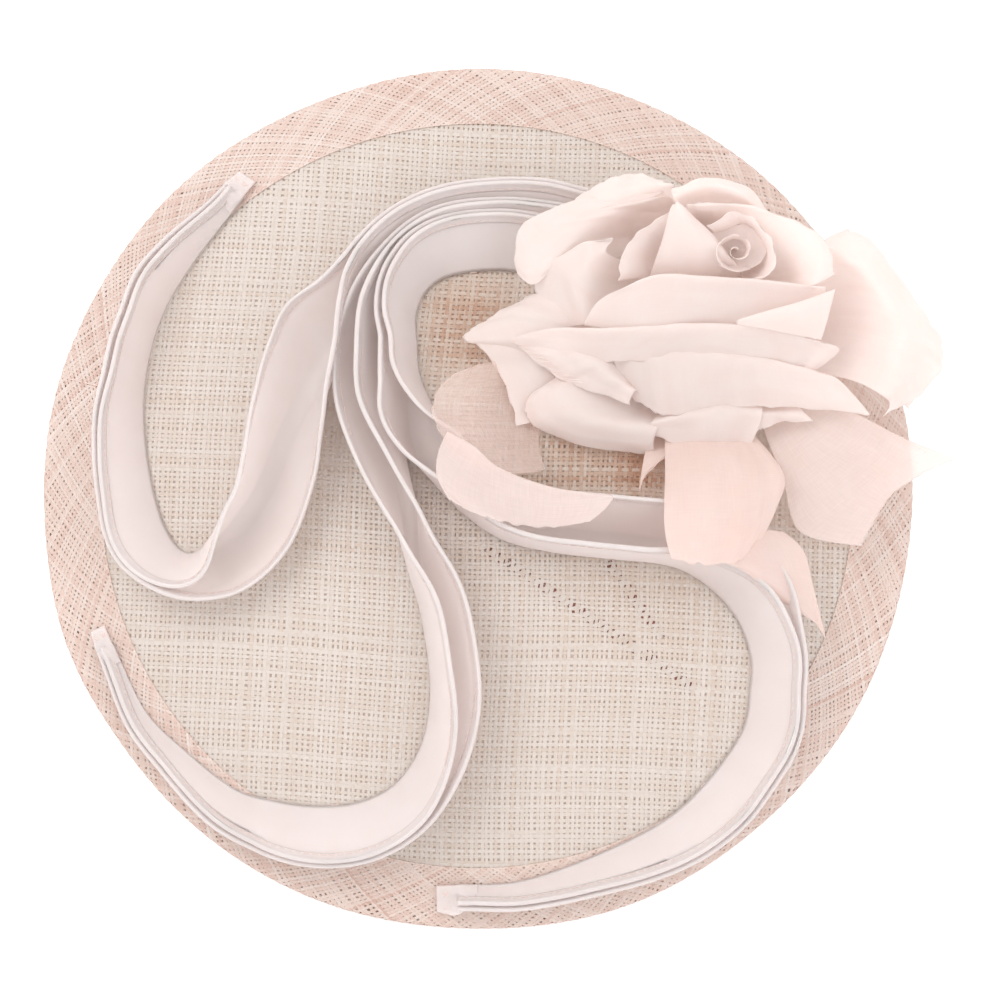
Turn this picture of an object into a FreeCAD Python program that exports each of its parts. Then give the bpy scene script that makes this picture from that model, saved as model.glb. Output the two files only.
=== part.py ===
import FreeCAD, Part
import math
import os
import Sketcher
from FreeCAD import Placement, Rotation, Vector

# A disc fascinator: a domed two-layer sinamay disc with a wired, bound rim, three wired satin
# bands, an organza rose with leaves, and a head pad with a hinged slide comb underneath.
# Millimetres, +Z up.  The origin is the middle of the head pad's lower face.

doc = FreeCAD.newDocument("fascinator")

# ---------------------------------------------------------------- driving dimensions
SIZES = [
    # disc and rim
    ("rim_radius", 150), ("dome_rise", 28), ("layer_thickness", 0.5), ("layer_gap", 0.3),
    ("binding_width", 22), ("binding_thickness", 0.5), ("binding_gap", 0.3),
    ("brim_wire_diameter", 1.1), ("brim_wire_inset", 1.9),
    ("ferrule_length", 12), ("ferrule_wall", 0.2), ("ferrule_clearance", 0.06),
    ("seam_angle", 164), ("stitch_diameter", 0.4),
    # head pad
    ("pad_length", 92), ("pad_width", 70), ("pad_height", 12), ("pad_cover_thickness", 1),
    ("pad_clearance", 0.3),
    # comb
    ("comb_width", 71), ("comb_spine_diameter", 4), ("comb_setback", 26), ("comb_drop", 3.2),
    ("tooth_length", 38), ("tooth_width", 1.8), ("tooth_thickness", 1.6), ("tooth_pitch", 5),
    ("tooth_count", 14), ("loop_thread", 0.6), ("loop_clearance", 0.3),
    # satin bands
    ("flap_width", 22), ("flap_thickness", 0.5), ("band_lift", 0.5), ("edge_wire", 0.9),
    ("tack_spacing", 22),
    # rose
    ("rose_right", 81), ("rose_forward", 62), ("rose_lean_right", 7), ("rose_lean_forward", 18),
    ("backing_lift", 0.6), ("backing_radius", 16), ("backing_thickness", 1.4),
    ("core_radius", 6.5), ("core_height", 32),
    ("petal_thickness", 0.6), ("petal_step", 1.15), ("petal_foot", 7.4),
]

sheet = doc.addObject("Spreadsheet::Sheet", "sizes")
for row, (alias, value) in enumerate(SIZES, start=1):
    sheet.set("A%d" % row, alias)
    sheet.set("B%d" % row, str(value))
    sheet.setAlias("B%d" % row, alias)
doc.recompute()


def size(alias):
    """A driving dimension, read from the sheet."""
    return float(sheet.get(alias))


# Expressions shared by the sketches of the disc, the binding and the pad
DOME = "((sizes.rim_radius ^ 2 + sizes.dome_rise ^ 2) / (2 * sizes.dome_rise))"
UNDER_FACE = "(sizes.pad_height + sizes.pad_clearance)"
STACK = "(2 * sizes.layer_thickness + sizes.layer_gap)"
CENTRE = "(%s - %s)" % (UNDER_FACE, DOME)

DOME_RADIUS = (size("rim_radius") ** 2 + size("dome_rise") ** 2) / (2 * size("dome_rise"))
DOME_CENTRE = size("pad_height") + size("pad_clearance") - DOME_RADIUS
LAYER_STACK = 2 * size("layer_thickness") + size("layer_gap")
nodes = []


def keep(obj, label):
    """Names a finished sub-part, which becomes one node."""
    obj.Label = label
    nodes.append(obj)
    return obj


def dome_z(x, y, above=0.0):
    """Height of the disc's top face, or of a face parallel to it."""
    radius = DOME_RADIUS + LAYER_STACK + above
    return DOME_CENTRE + math.sqrt(radius ** 2 - x * x - y * y)


def dome_turn(x, y):
    """Rotation from +Z to the disc's normal at (x, y)."""
    return Rotation(Vector(0, 0, 1), Vector(x, y, dome_z(x, y) - DOME_CENTRE))


def shape_feature(label, shape, placement=None):
    """A sub-part with a free-form shape, worked out from the sheet's sizes."""
    feature = doc.addObject("Part::Feature", label)
    feature.Shape = shape
    if placement is not None:
        feature.Placement = placement
    return keep(feature, label)


def plane(body, role):
    """One of a body's own origin planes."""
    return [item for item in body.Origin.OriginFeatures if item.Role == role][0]


def sketch_on(body, name, role):
    sketch = body.newObject("Sketcher::SketchObject", name)
    sketch.AttachmentSupport = [(plane(body, role), "")]
    sketch.MapMode = "FlatFace"
    return sketch


def bind(sketch, kind, args, name, expression, start):
    """A named driving constraint whose value comes from the sheet."""
    number = sketch.addConstraint(Sketcher.Constraint(kind, *args, start))
    sketch.renameConstraint(number, name)
    sketch.setExpression("Constraints." + name, expression)


def revolve(body, sketch):
    turned = body.newObject("PartDesign::Revolution", body.Name + "_turned")
    turned.Profile = sketch
    turned.ReferenceAxis = (sketch, ["V_Axis"])
    turned.Angle = 360
    return turned


# ---------------------------------------------------------------- the disc
def dome_shell(label, inner_offset, outer_offset, edge):
    """A shell between two concentric spheres, closed at its rim by a short wall."""
    body = doc.addObject("PartDesign::Body", label)
    sketch = sketch_on(body, label + "_profile", "XZ_Plane")
    centre = Vector(0, DOME_CENTRE, 0)
    axis = Vector(0, 0, 1)
    rim = math.acos(0.98 * size("rim_radius") / DOME_RADIUS)
    for lift in (2.0, 1.0):
        circle = Part.Circle(centre, axis, DOME_RADIUS + lift)
        sketch.addGeometry(Part.ArcOfCircle(circle, rim, math.pi / 2))
    outer_rim = Vector(0.98 * size("rim_radius"), DOME_CENTRE + DOME_RADIUS, 0)
    sketch.addGeometry(Part.LineSegment(outer_rim, outer_rim + Vector(-0.3, -1, 0)))
    top = Vector(0, DOME_CENTRE + DOME_RADIUS, 0)
    sketch.addGeometry(Part.LineSegment(top + Vector(0, 2, 0), top + Vector(0, 1, 0)))
    sketch.addConstraint(Sketcher.Constraint("Coincident", 0, 3, 1, 3))
    sketch.addConstraint(Sketcher.Constraint("PointOnObject", 0, 3, -2))
    sketch.addConstraint(Sketcher.Constraint("Coincident", 2, 1, 0, 1))
    sketch.addConstraint(Sketcher.Constraint("Coincident", 2, 2, 1, 1))
    sketch.addConstraint(Sketcher.Constraint("Coincident", 3, 1, 0, 2))
    sketch.addConstraint(Sketcher.Constraint("Coincident", 3, 2, 1, 2))
    sketch.addConstraint(Sketcher.Constraint("PointOnObject", 0, 2, -2))
    sketch.addConstraint(Sketcher.Constraint("PointOnObject", 1, 2, -2))
    bind(sketch, "DistanceY", (0, 3, -1, 1), "sphere_drop", "-1 * " + CENTRE, -DOME_CENTRE)
    bind(sketch, "Radius", (0,), "outer_radius", DOME + " + " + outer_offset, DOME_RADIUS + 2)
    bind(sketch, "Radius", (1,), "inner_radius", DOME + " + " + inner_offset, DOME_RADIUS + 1)
    bind(sketch, "DistanceX", (-1, 1, 0, 1), "outer_reach", edge, 0.98 * size("rim_radius"))
    bind(sketch, "DistanceX", (-1, 1, 1, 1), "inner_reach", edge, 0.98 * size("rim_radius"))
    revolve(body, sketch)
    keep(body, label)


def sinamay_layers():
    edge = ("sizes.rim_radius - sizes.brim_wire_inset - sizes.brim_wire_diameter / 2"
            " - sizes.ferrule_clearance - sizes.ferrule_wall - 0.2")
    dome_shell("sinamay_under_layer", "0", "sizes.layer_thickness", edge)
    dome_shell("sinamay_upper_layer", "sizes.layer_thickness + sizes.layer_gap", STACK, edge)


def rim_place(inset):
    """Radius and height of a ring between the two faces of the disc, near its rim."""
    radius = size("rim_radius") - inset
    middle = DOME_RADIUS + LAYER_STACK / 2
    return radius, DOME_CENTRE + math.sqrt(middle ** 2 - radius ** 2)


def brim_wire():
    """The millinery wire round the rim, inside the fold of the binding."""
    radius, height = rim_place(size("brim_wire_inset"))
    wire = doc.addObject("Part::Torus", "brim_wire")
    wire.setExpression("Radius1", "sizes.rim_radius - sizes.brim_wire_inset")
    wire.setExpression("Radius2", "sizes.brim_wire_diameter / 2")
    wire.Placement.Base = Vector(0, 0, height)
    keep(wire, "brim_wire")


def binding_point(radius, angle):
    """A point of the rim's section, at an angle from the dome's axis."""
    return Vector(radius * math.sin(angle), 0, DOME_CENTRE + radius * math.cos(angle))


def edge_binding():
    """The folded binding: one leg over the disc, one under it, and a rounded fold outside."""
    gap, cloth = size("binding_gap"), size("binding_thickness")
    inner_top = DOME_RADIUS + LAYER_STACK + gap
    inner_low = DOME_RADIUS - gap
    outer_top, outer_low = inner_top + cloth, inner_low - cloth
    half = (outer_top - outer_low) / 2
    fold = math.asin((size("rim_radius") - half) / DOME_RADIUS)
    start = fold - (size("binding_width") - half) / DOME_RADIUS
    nose = math.asin(half / DOME_RADIUS)

    def arc(radius, first, last):
        middle = binding_point(radius, (first + last) / 2)
        return Part.Arc(binding_point(radius, first), middle, binding_point(radius, last))

    def bend(radius_top, radius_low, reach):
        outermost = binding_point((radius_top + radius_low) / 2, fold + reach)
        return Part.Arc(binding_point(radius_top, fold), outermost, binding_point(radius_low, fold))

    edges = [arc(outer_top, start, fold), bend(outer_top, outer_low, nose)]
    edges += [arc(outer_low, fold, start)]
    edges += [Part.LineSegment(binding_point(outer_low, start), binding_point(inner_low, start))]
    edges += [arc(inner_low, start, fold)]
    edges += [bend(inner_low, inner_top, nose * (half - cloth) / half)]
    edges += [arc(inner_top, fold, start)]
    edges += [Part.LineSegment(binding_point(inner_top, start), binding_point(outer_top, start))]
    section = Part.Face(Part.Wire([edge.toShape() for edge in edges]))
    ring = section.revolve(Vector(0, 0, 0), Vector(0, 0, 1), 360)
    shape_feature("edge_binding", ring)


def stitch(length, diameter):
    """A short thread lying along X, with its middle at the origin."""
    return Part.makeCylinder(diameter / 2, length, Vector(-length / 2, 0, 0), Vector(1, 0, 0))


def wire_ferrule():
    """A crimped tube over the brim wire's ends, at the binding's seam."""
    bore = size("brim_wire_diameter") / 2 + size("ferrule_clearance")
    wall = size("ferrule_wall")
    length = size("ferrule_length")
    radius, height = rim_place(size("brim_wire_inset"))
    half_turn = math.degrees(length / radius / 2)
    tube = Part.makeTorus(radius, bore + wall, Vector(0, 0, 0), Vector(0, 0, 1), -180, 180,
                          2 * half_turn)
    hole = Part.makeTorus(radius, bore, Vector(0, 0, 0), Vector(0, 0, 1), -180, 180,
                          2 * half_turn)
    turn = Rotation(Vector(0, 0, 1), size("seam_angle") - half_turn)
    shape_feature("wire_ferrule", tube.cut(hole), Placement(Vector(0, 0, height), turn))


def seam_stitches():
    """The short row of thread that closes the binding's overlap."""
    angle = math.radians(size("seam_angle"))
    thread = size("stitch_diameter")
    above = size("binding_gap") + size("binding_thickness") + thread / 2 + 0.05
    count = 6
    pieces = []
    for number in range(count):
        reach = size("rim_radius") - 3 - (size("binding_width") - 5) * (number + 0.5) / count
        x, y = reach * math.cos(angle), reach * math.sin(angle)
        piece = stitch(1.9, thread)
        slope = dome_turn(x, y).multiply(Rotation(Vector(0, 0, 1), size("seam_angle")))
        piece.Placement = Placement(Vector(x, y, dome_z(x, y, above)), slope)
        pieces.append(piece)
    shape_feature("binding_seam_stitches", Part.makeCompound(pieces))


# ---------------------------------------------------------------- head pad
def oval_block(name, inset, floor, sphere_inset):
    """An oval block with a flat floor and a domed top that follows the disc's underside."""
    sketch = doc.addObject("Part::Ellipse", name + "_outline")
    sketch.setExpression("MajorRadius", "sizes.pad_length / 2 - " + inset)
    sketch.setExpression("MinorRadius", "sizes.pad_width / 2 - " + inset)
    sketch.setExpression("Placement.Base.z", floor)
    block = doc.addObject("Part::Extrusion", name + "_block")
    block.Base = sketch
    block.DirMode = "Custom"
    block.Dir = Vector(0, 0, 1)
    block.Solid = True
    block.setExpression("LengthFwd", "sizes.pad_height + 5")
    ball = doc.addObject("Part::Sphere", name + "_ball")
    ball.setExpression("Radius", DOME + " - " + sphere_inset)
    ball.setExpression("Placement.Base.z", CENTRE)
    domed = doc.addObject("Part::Common", name + "_domed")
    domed.Base = block
    domed.Tool = ball
    return domed


def head_pad():
    """A foam core inside a fabric cover, sewn under the middle of the disc."""
    cover_inset = "sizes.pad_cover_thickness"
    outer = oval_block("cover_outside", "0", "0", "sizes.pad_clearance")
    top = "(sizes.pad_clearance + %s)" % cover_inset
    hollow = oval_block("cover_inside", cover_inset, cover_inset, top)
    cover = doc.addObject("Part::Cut", "head_pad_cover")
    cover.Base = outer
    cover.Tool = hollow
    keep(cover, "head_pad_cover")
    clear = "(%s + 0.2)" % cover_inset
    core_top = "(sizes.pad_clearance + %s)" % clear
    core = oval_block("core", clear, clear, core_top)
    keep(core, "head_pad_core")


def pad_stitches():
    """Thread tacks round the pad's upper edge, which hold it to the disc."""
    pieces = []
    thread = size("stitch_diameter")
    for number in range(12):
        angle = 2 * math.pi * (number + 0.5) / 12
        x = (size("pad_length") / 2 + 0.5) * math.cos(angle)
        y = (size("pad_width") / 2 + 0.5) * math.sin(angle)
        radius = DOME_RADIUS - thread / 2 - 0.1
        z = DOME_CENTRE + math.sqrt(radius ** 2 - x * x - y * y)
        piece = stitch(3.5, thread)
        slope = dome_turn(x, y).multiply(Rotation(Vector(0, 0, 1), math.degrees(angle) + 90))
        piece.Placement = Placement(Vector(x, y, z), slope)
        pieces.append(piece)
    shape_feature("head_pad_stitches", Part.makeCompound(pieces))


# ---------------------------------------------------------------- comb
def comb():
    """The slide comb: a round spine along X with a row of teeth pointing to +Y."""
    body = doc.addObject("PartDesign::Body", "slide_comb")
    spine = sketch_on(body, "spine_section", "YZ_Plane")
    spine.addGeometry(Part.Circle(Vector(0, 0, 0), Vector(0, 0, 1), 2))
    spine.addConstraint(Sketcher.Constraint("Coincident", 0, 3, -1, 1))
    bind(spine, "Diameter", (0,), "spine_diameter", "sizes.comb_spine_diameter", 4)
    bar = body.newObject("PartDesign::Pad", "spine_bar")
    bar.Profile = spine
    bar.Midplane = True
    bar.setExpression("Length", "sizes.comb_width")
    tooth = sketch_on(body, "tooth_outline", "XY_Plane")
    first = -size("tooth_pitch") * (size("tooth_count") - 1) / 2
    half = size("tooth_width") / 2
    root = size("comb_spine_diameter") / 4
    tip = size("tooth_length")
    taper = 0.45 * half
    corners = [(first - half, root), (first + half, root), (first + taper, tip),
               (first - taper, tip)]
    for number in range(4):
        start, end = corners[number], corners[(number + 1) % 4]
        tooth.addGeometry(Part.LineSegment(Vector(*start, 0), Vector(*end, 0)))
    for number in range(4):
        tooth.addConstraint(Sketcher.Constraint("Coincident", number, 2, (number + 1) % 4, 1))
    tooth.addConstraint(Sketcher.Constraint("Horizontal", 0))
    tooth.addConstraint(Sketcher.Constraint("Horizontal", 2))
    row_start = "sizes.tooth_pitch * (sizes.tooth_count - 1) / 2"
    bind(tooth, "DistanceX", (0, 1, -1, 1), "root_side",
         row_start + " + sizes.tooth_width / 2", half - first)
    bind(tooth, "DistanceX", (0, 1, 0, 2), "root_width", "sizes.tooth_width", 2 * half)
    bind(tooth, "DistanceY", (-1, 1, 0, 1), "root_depth", "sizes.comb_spine_diameter / 4", root)
    bind(tooth, "DistanceY", (-1, 1, 2, 1), "tip_reach", "sizes.tooth_length", tip)
    bind(tooth, "DistanceX", (2, 2, -1, 1), "tip_side",
         row_start + " + 0.225 * sizes.tooth_width", taper - first)
    bind(tooth, "DistanceX", (2, 2, 2, 1), "tip_width", "0.45 * sizes.tooth_width", 2 * taper)
    blade = body.newObject("PartDesign::Pad", "tooth_blade")
    blade.Profile = tooth
    blade.Midplane = True
    blade.setExpression("Length", "sizes.tooth_thickness")
    doc.recompute()
    row = body.newObject("PartDesign::LinearPattern", "tooth_row")
    row.Originals = [blade]
    row.Direction = (tooth, ["H_Axis"])
    row.setExpression("Length", "sizes.tooth_pitch * (sizes.tooth_count - 1)")
    row.setExpression("Occurrences", "sizes.tooth_count")
    body.Tip = row
    body.Placement.Base = Vector(0, -size("comb_setback"), -size("comb_drop"))
    keep(body, "slide_comb")


def comb_loops():
    """Thread loops round the spine, between the teeth, that sew it to the pad and let it turn."""
    thread = size("loop_thread") / 2
    radius = size("comb_spine_diameter") / 2 + size("loop_clearance") + thread
    loops = []
    for number in range(1, int(size("tooth_count")), 2):
        x = (number - size("tooth_count") / 2) * size("tooth_pitch")
        middle = Vector(x, -size("comb_setback"), -size("comb_drop"))
        loops.append(Part.makeTorus(radius, thread, middle, Vector(1, 0, 0)))
    shape_feature("comb_thread_loops", Part.makeCompound(loops))


# ---------------------------------------------------------------- satin bands
# Each band is a folded strip, sewn down along its fold.  A station gives the middle of the
# fold (x, y), half the fold's width, and how far the right-hand and the left-hand flap lean
# from upright, in degrees, to the left of the way from the rose to the rim.
BAND_STATIONS = {
    "left": [
        (33, 83, 0.7, -61, -59), (21, 86, 0.7, -61, -59), (7, 86, 0.7, -61, -60),
        (-9, 84, 0.7, -59, -58), (-23, 77, 0.7, -54, -53), (-34, 67, 0.8, -42, -38),
        (-41, 59, 1.2, -44, -24), (-48, 49, 2, -57, -8), (-55, 37, 2, -48, 5),
        (-65, 18, 2, -28, 27), (-73, -1, 2, -12, 42), (-82, -14, 2, -4, 50),
        (-90, -20, 1.5, 12, 54), (-99, -22, 1, 46, 49), (-106, -14, 0.9, 66, 67),
        (-111, 1, 0.9, 56, 57), (-114, 20, 0.9, 47, 48), (-114, 39, 0.9, 33, 35),
        (-109, 60, 0.9, 31, 33), (-98, 80, 0.9, 40, 42), (-81, 103, 0.9, 60, 62)],
    "lower": [
        (33, 76, 0.7, -61, -59), (21, 78, 0.7, -61, -59), (7, 79, 0.7, -61, -60),
        (-8, 77, 0.7, -60, -58), (-19, 69, 0.7, -54, -52), (-29, 58, 0.9, -44, -37),
        (-33, 44, 1.3, -40, -27), (-31, 28, 1.7, -42, -30), (-26, 8, 2, -34, -20),
        (-23, -11, 2, -14, 0), (-22, -26, 2, 6, 18), (-17, -45, 2, 20, 31),
        (-14, -69, 2, 24, 35), (-18, -88, 1.6, 36, 41), (-28, -101, 1, 57, 59),
        (-41, -107, 0.9, 69, 71), (-56, -108, 0.9, 71, 73), (-70, -106, 0.9, 64, 66),
        (-83, -102, 0.9, 52, 54), (-100, -89, 0.9, 54, 56), (-114, -75, 0.9, 56, 58),
        (-125, -52, 0.9, 60, 62)],
    "right": [
        (33, 72, 0.7, -61, -59), (21, 73, 0.7, -61, -59), (7, 75, 0.7, -61, -60),
        (-9, 73, 0.7, -56, -55), (-17, 68, 0.7, -44, -42), (-21, 59, 0.9, -35, -33),
        (-21, 49, 1.2, -30, -28), (-21, 37, 2, -26, -26), (-19, 26, 4, -26, -18),
        (-15, 12, 5.5, -10, 4), (-6, -2, 5, 8, 10), (9, -14, 4.5, 6, 22),
        (27, -19, 4, 6, 26), (47, -21, 4, 6, 27), (64, -23, 3.5, 8, 32),
        (77, -29, 3, 20, 44), (88, -41, 2, 40, 52), (93, -56, 1, 51, 54),
        (93, -68, 0.9, 54, 56), (90, -83, 0.9, 58, 60), (77, -101, 0.9, 62, 64),
        (62, -114, 0.9, 62, 64), (38, -126, 0.9, 56, 58), (14, -134, 0.9, 52, 54),
        (-7, -135, 0.9, 52, 54)],
}
# the rim's radius that the stations are stated for
STATIONS_RIM_RADIUS = 150
BAND_NAMES = ("left", "lower", "right")
# where the flaps start to narrow, as a share of the way, and their width at the rim's end
BAND_ENDS = {"left": (0.84, 8), "lower": (0.72, 6), "right": (0.74, 10)}
STEPS_PER_STATION = 2


def smooth(points, steps):
    """A smooth run of rows through the given rows (Catmull-Rom)."""
    rows = []
    last = len(points) - 1
    for index in range(last):
        before, first = points[max(index - 1, 0)], points[index]
        second, after = points[index + 1], points[min(index + 2, last)]
        for step in range(steps):
            t = step / steps
            rows.append([0.5 * (2 * b + (c - a) * t + (2 * a - 5 * b + 4 * c - d) * t ** 2
                                + (3 * b - a - 3 * c + d) * t ** 3)
                         for a, b, c, d in zip(before, first, second, after)])
    rows.append(list(points[last]))
    return rows


def band_frames(name):
    """Rows of (middle, left-hand direction, half fold, leans in radians, flap width)."""
    scale = size("rim_radius") / STATIONS_RIM_RADIUS
    rows = smooth(BAND_STATIONS[name], STEPS_PER_STATION)
    spots = [Vector(row[0] * scale, row[1] * scale, 0) for row in rows]
    run = [0.0]
    for first, second in zip(spots, spots[1:]):
        run.append(run[-1] + (second - first).Length)
    taper_from, end_width = BAND_ENDS[name]
    frames = []
    for index, row in enumerate(rows):
        ahead = spots[min(index + 1, len(spots) - 1)] - spots[max(index - 1, 0)]
        ahead.normalize()
        left = Vector(-ahead.y, ahead.x, 0)
        share = max(0.0, (run[index] / run[-1] - taper_from) / (1 - taper_from))
        share = share * share * (3 - 2 * share)
        width = size("flap_width") + (end_width - size("flap_width")) * share
        x, y = spots[index].x, spots[index].y
        middle = Vector(x, y, dome_z(x, y, size("band_lift")))
        frames.append((middle, left, row[2], math.radians(row[3]), math.radians(row[4]), width))
    return frames


def across(frame, sideways, up):
    """A point of a band's cross-section."""
    return frame[0] + frame[1] * sideways + Vector(0, 0, up)


def rim_clearance(frame, sideways, up, spare=0.0):
    """Lifts a point of a band that would come too near the bound rim."""
    point = across(frame, sideways, up)
    floor = size("band_lift") + size("binding_gap") + size("binding_thickness") + 0.1 + spare
    reach = math.hypot(point.x, point.y)
    if reach > size("rim_radius") - size("binding_width") - 6:
        reach = min(reach, size("rim_radius") - 0.5)
        shrink = reach / math.hypot(point.x, point.y)
        x, y = point.x * shrink, point.y * shrink
        point.z = max(point.z, dome_z(x, y, floor))
    return point


def band_section(frame):
    """The closed outline of a band: two flaps that rise from the fold to their edges."""
    half, lean_right, lean_left, width = frame[2:]
    cloth = size("flap_thickness")
    flap = width - size("edge_wire") - 0.1
    tips = []
    for side, lean in ((-half, lean_right), (half, lean_left)):
        middle = (side + flap * math.sin(lean), flap * math.cos(lean))
        normal = (math.cos(lean) * cloth / 2, -math.sin(lean) * cloth / 2)
        tips.append((middle, normal))
    (right, right_normal), (left, left_normal) = tips
    opening = min(1.0, max(0.0, (left[0] - right[0] - 2 * half) / 6 + (half - 1) / 3))
    valley = ((right[0] + left[0]) / 2 * 0.9, (right[1] + left[1]) / 2 * 0.9)
    valley = (valley[0] * (1 - opening), valley[1] * (1 - opening) + 1.2 * opening)
    outline = [
        (right[0] - right_normal[0], right[1] - right_normal[1]), (-half, 0), (half, 0),
        (left[0] + left_normal[0], left[1] + left_normal[1]),
        (left[0] - left_normal[0], left[1] - left_normal[1]), valley,
        (right[0] + right_normal[0], right[1] + right_normal[1])]
    return outline


def loft(sections):
    """A closed solid through the outlines, with a ruled face from each side to the next."""
    faces = [Part.Face(Part.makePolygon(ends + [ends[0]])) for ends in (sections[0], sections[-1])]
    for here, ahead in zip(sections, sections[1:]):
        for corner in range(len(here)):
            after = (corner + 1) % len(here)
            faces.append(Part.makeRuledSurface(Part.makeLine(here[corner], here[after]),
                                               Part.makeLine(ahead[corner], ahead[after])))
    skin = Part.Compound(faces)
    skin.sewShape()
    solid = Part.makeSolid(skin.Shells[0])
    if solid.Volume < 0:
        solid.reverse()
    return solid


def edge_wire_sections(frames, use_left):
    """Hexagons round the wire that runs in a flap's hem."""
    radius = size("edge_wire") / 2
    rings = []
    for frame in frames:
        half, lean_right, lean_left, width = frame[2:]
        side, lean = (half, lean_left) if use_left else (-half, lean_right)
        reach = width - radius
        u, v = side + reach * math.sin(lean), reach * math.cos(lean)
        middle = rim_clearance(frame, u, v, radius)
        ring = []
        for corner in range(6):
            angle = math.pi * corner / 3
            sideways = frame[1] * (radius * math.cos(angle))
            ring.append(middle + sideways + Vector(0, 0, radius * math.sin(angle)))
        rings.append(ring)
    return rings


def band(name):
    frames = band_frames(name)
    outlines = [[rim_clearance(frame, u, v) for u, v in band_section(frame)] for frame in frames]
    shape_feature("band_%s_cover" % name, loft(outlines))
    for use_left, side in ((False, "near"), (True, "far")):
        rings = edge_wire_sections(frames, use_left)
        shape_feature("band_%s_%s_wire" % (name, side), loft(rings))


def tack_stitches(name):
    """Threads under a band's fold that sew it down, evenly spaced, and higher on the binding."""
    frames = band_frames(name)
    thread = size("stitch_diameter")
    pieces = []
    run, due = 0.0, size("tack_spacing") / 2
    for before, frame in zip(frames, frames[1:]):
        run += (frame[0] - before[0]).Length
        if run < due:
            continue
        due += size("tack_spacing")
        x, y = frame[0].x, frame[0].y
        above = thread / 2 + 0.05
        if math.hypot(x, y) > size("rim_radius") - size("binding_width") - 3:
            above += size("binding_gap") + size("binding_thickness")
        piece = stitch(2.4, thread)
        along = math.degrees(math.atan2(frame[1].y, frame[1].x)) - 90
        slope = dome_turn(x, y).multiply(Rotation(Vector(0, 0, 1), along))
        piece.Placement = Placement(Vector(x, y, dome_z(x, y, above)), slope)
        pieces.append(piece)
    shape_feature("band_%s_tack_stitches" % name, Part.makeCompound(pieces))


# ---------------------------------------------------------------- rose
# Petals are thin curved tiles round the rose's axis.  Each has a layer (0 is innermost), the
# direction of its middle (degrees, from +X), its spread round the axis, how steeply it starts
# and ends (degrees above level) and its length.
PETALS = [
    ("bud_inner_petal", 0, 200, 150, 86, 96, 27), ("bud_outer_petal", 0, 20, 150, 84, 92, 25),
    ("bud_point_petal", 1, 172, 105, 76, 66, 33), ("right_inner_petal", 1, 0, 100, 72, 50, 32),
    ("back_rolled_petal", 1, 84, 50, 78, 62, 28),
    ("front_curled_petal", 2, 262, 110, 66, 34, 36), ("left_inner_petal", 2, 176, 46, 60, 30, 45),
    ("back_petal", 2, 90, 70, 66, 48, 32),
    ("front_second_petal", 3, 262, 84, 56, 12, 44), ("left_middle_petal", 3, 176, 62, 50, 22, 58),
    ("right_large_petal", 3, -15, 60, 48, 16, 50),
    ("front_lit_petal", 4, 272, 76, 44, -6, 54), ("left_tip_petal", 4, 197, 52, 36, 12, 72),
    ("right_outer_petal", 4, -20, 60, 36, 6, 52),
    ("front_lower_petal", 5, 290, 64, 32, -10, 56), ("left_lower_petal", 5, 228, 50, 30, 2, 62),
]
LEAVES = [
    ("leaf_left", 6, 209, 40, 22, 2, 84), ("leaf_lower_left", 6, 243, 22, 20, -16, 60),
    ("leaf_lower_right", 6, 284, 48, 20, -32, 76), ("leaf_right", 6, -26, 36, 18, -22, 62),
]


def rose_frame():
    """Where the rose stands on the disc, and its axis."""
    x, y = size("rose_right"), size("rose_forward")
    lift = size("backing_lift") + size("backing_thickness") + 0.25 * size("core_radius")
    lean = Vector(math.tan(math.radians(size("rose_lean_right"))),
                  math.tan(math.radians(size("rose_lean_forward"))), 1)
    foot = Vector(x, y, dome_z(x, y, lift))
    return Placement(foot, Rotation(Vector(0, 0, 1), lean))


def rose_base():
    """The stiff backing that is sewn to the disc, and the bud's padded core."""
    x, y = size("rose_right"), size("rose_forward")
    plate = doc.addObject("Part::Cylinder", "rose_backing")
    plate.setExpression("Radius", "sizes.backing_radius")
    plate.setExpression("Height", "sizes.backing_thickness")
    plate.Placement = Placement(Vector(x, y, dome_z(x, y, size("backing_lift"))),
                                dome_turn(x, y))
    keep(plate, "rose_backing")
    core = doc.addObject("Part::Cone", "rose_core")
    core.setExpression("Radius1", "sizes.core_radius")
    core.setExpression("Radius2", "sizes.core_radius * 0.45")
    core.setExpression("Height", "sizes.core_height")
    core.Placement = rose_frame()
    keep(core, "rose_core")


def rose_stitches():
    """Thread tacks round the backing, which hold the rose to the disc."""
    thread = size("stitch_diameter")
    pieces = []
    for number in range(8):
        angle = math.pi * (number + 0.5) / 4
        reach = size("backing_radius") + 1.5
        x = size("rose_right") + reach * math.cos(angle)
        y = size("rose_forward") + reach * math.sin(angle)
        piece = stitch(3, thread)
        slope = dome_turn(x, y).multiply(Rotation(Vector(0, 0, 1), math.degrees(angle)))
        piece.Placement = Placement(Vector(x, y, dome_z(x, y, thread / 2 + 0.05)), slope)
        pieces.append(piece)
    shape_feature("rose_stitches", Part.makeCompound(pieces))


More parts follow.
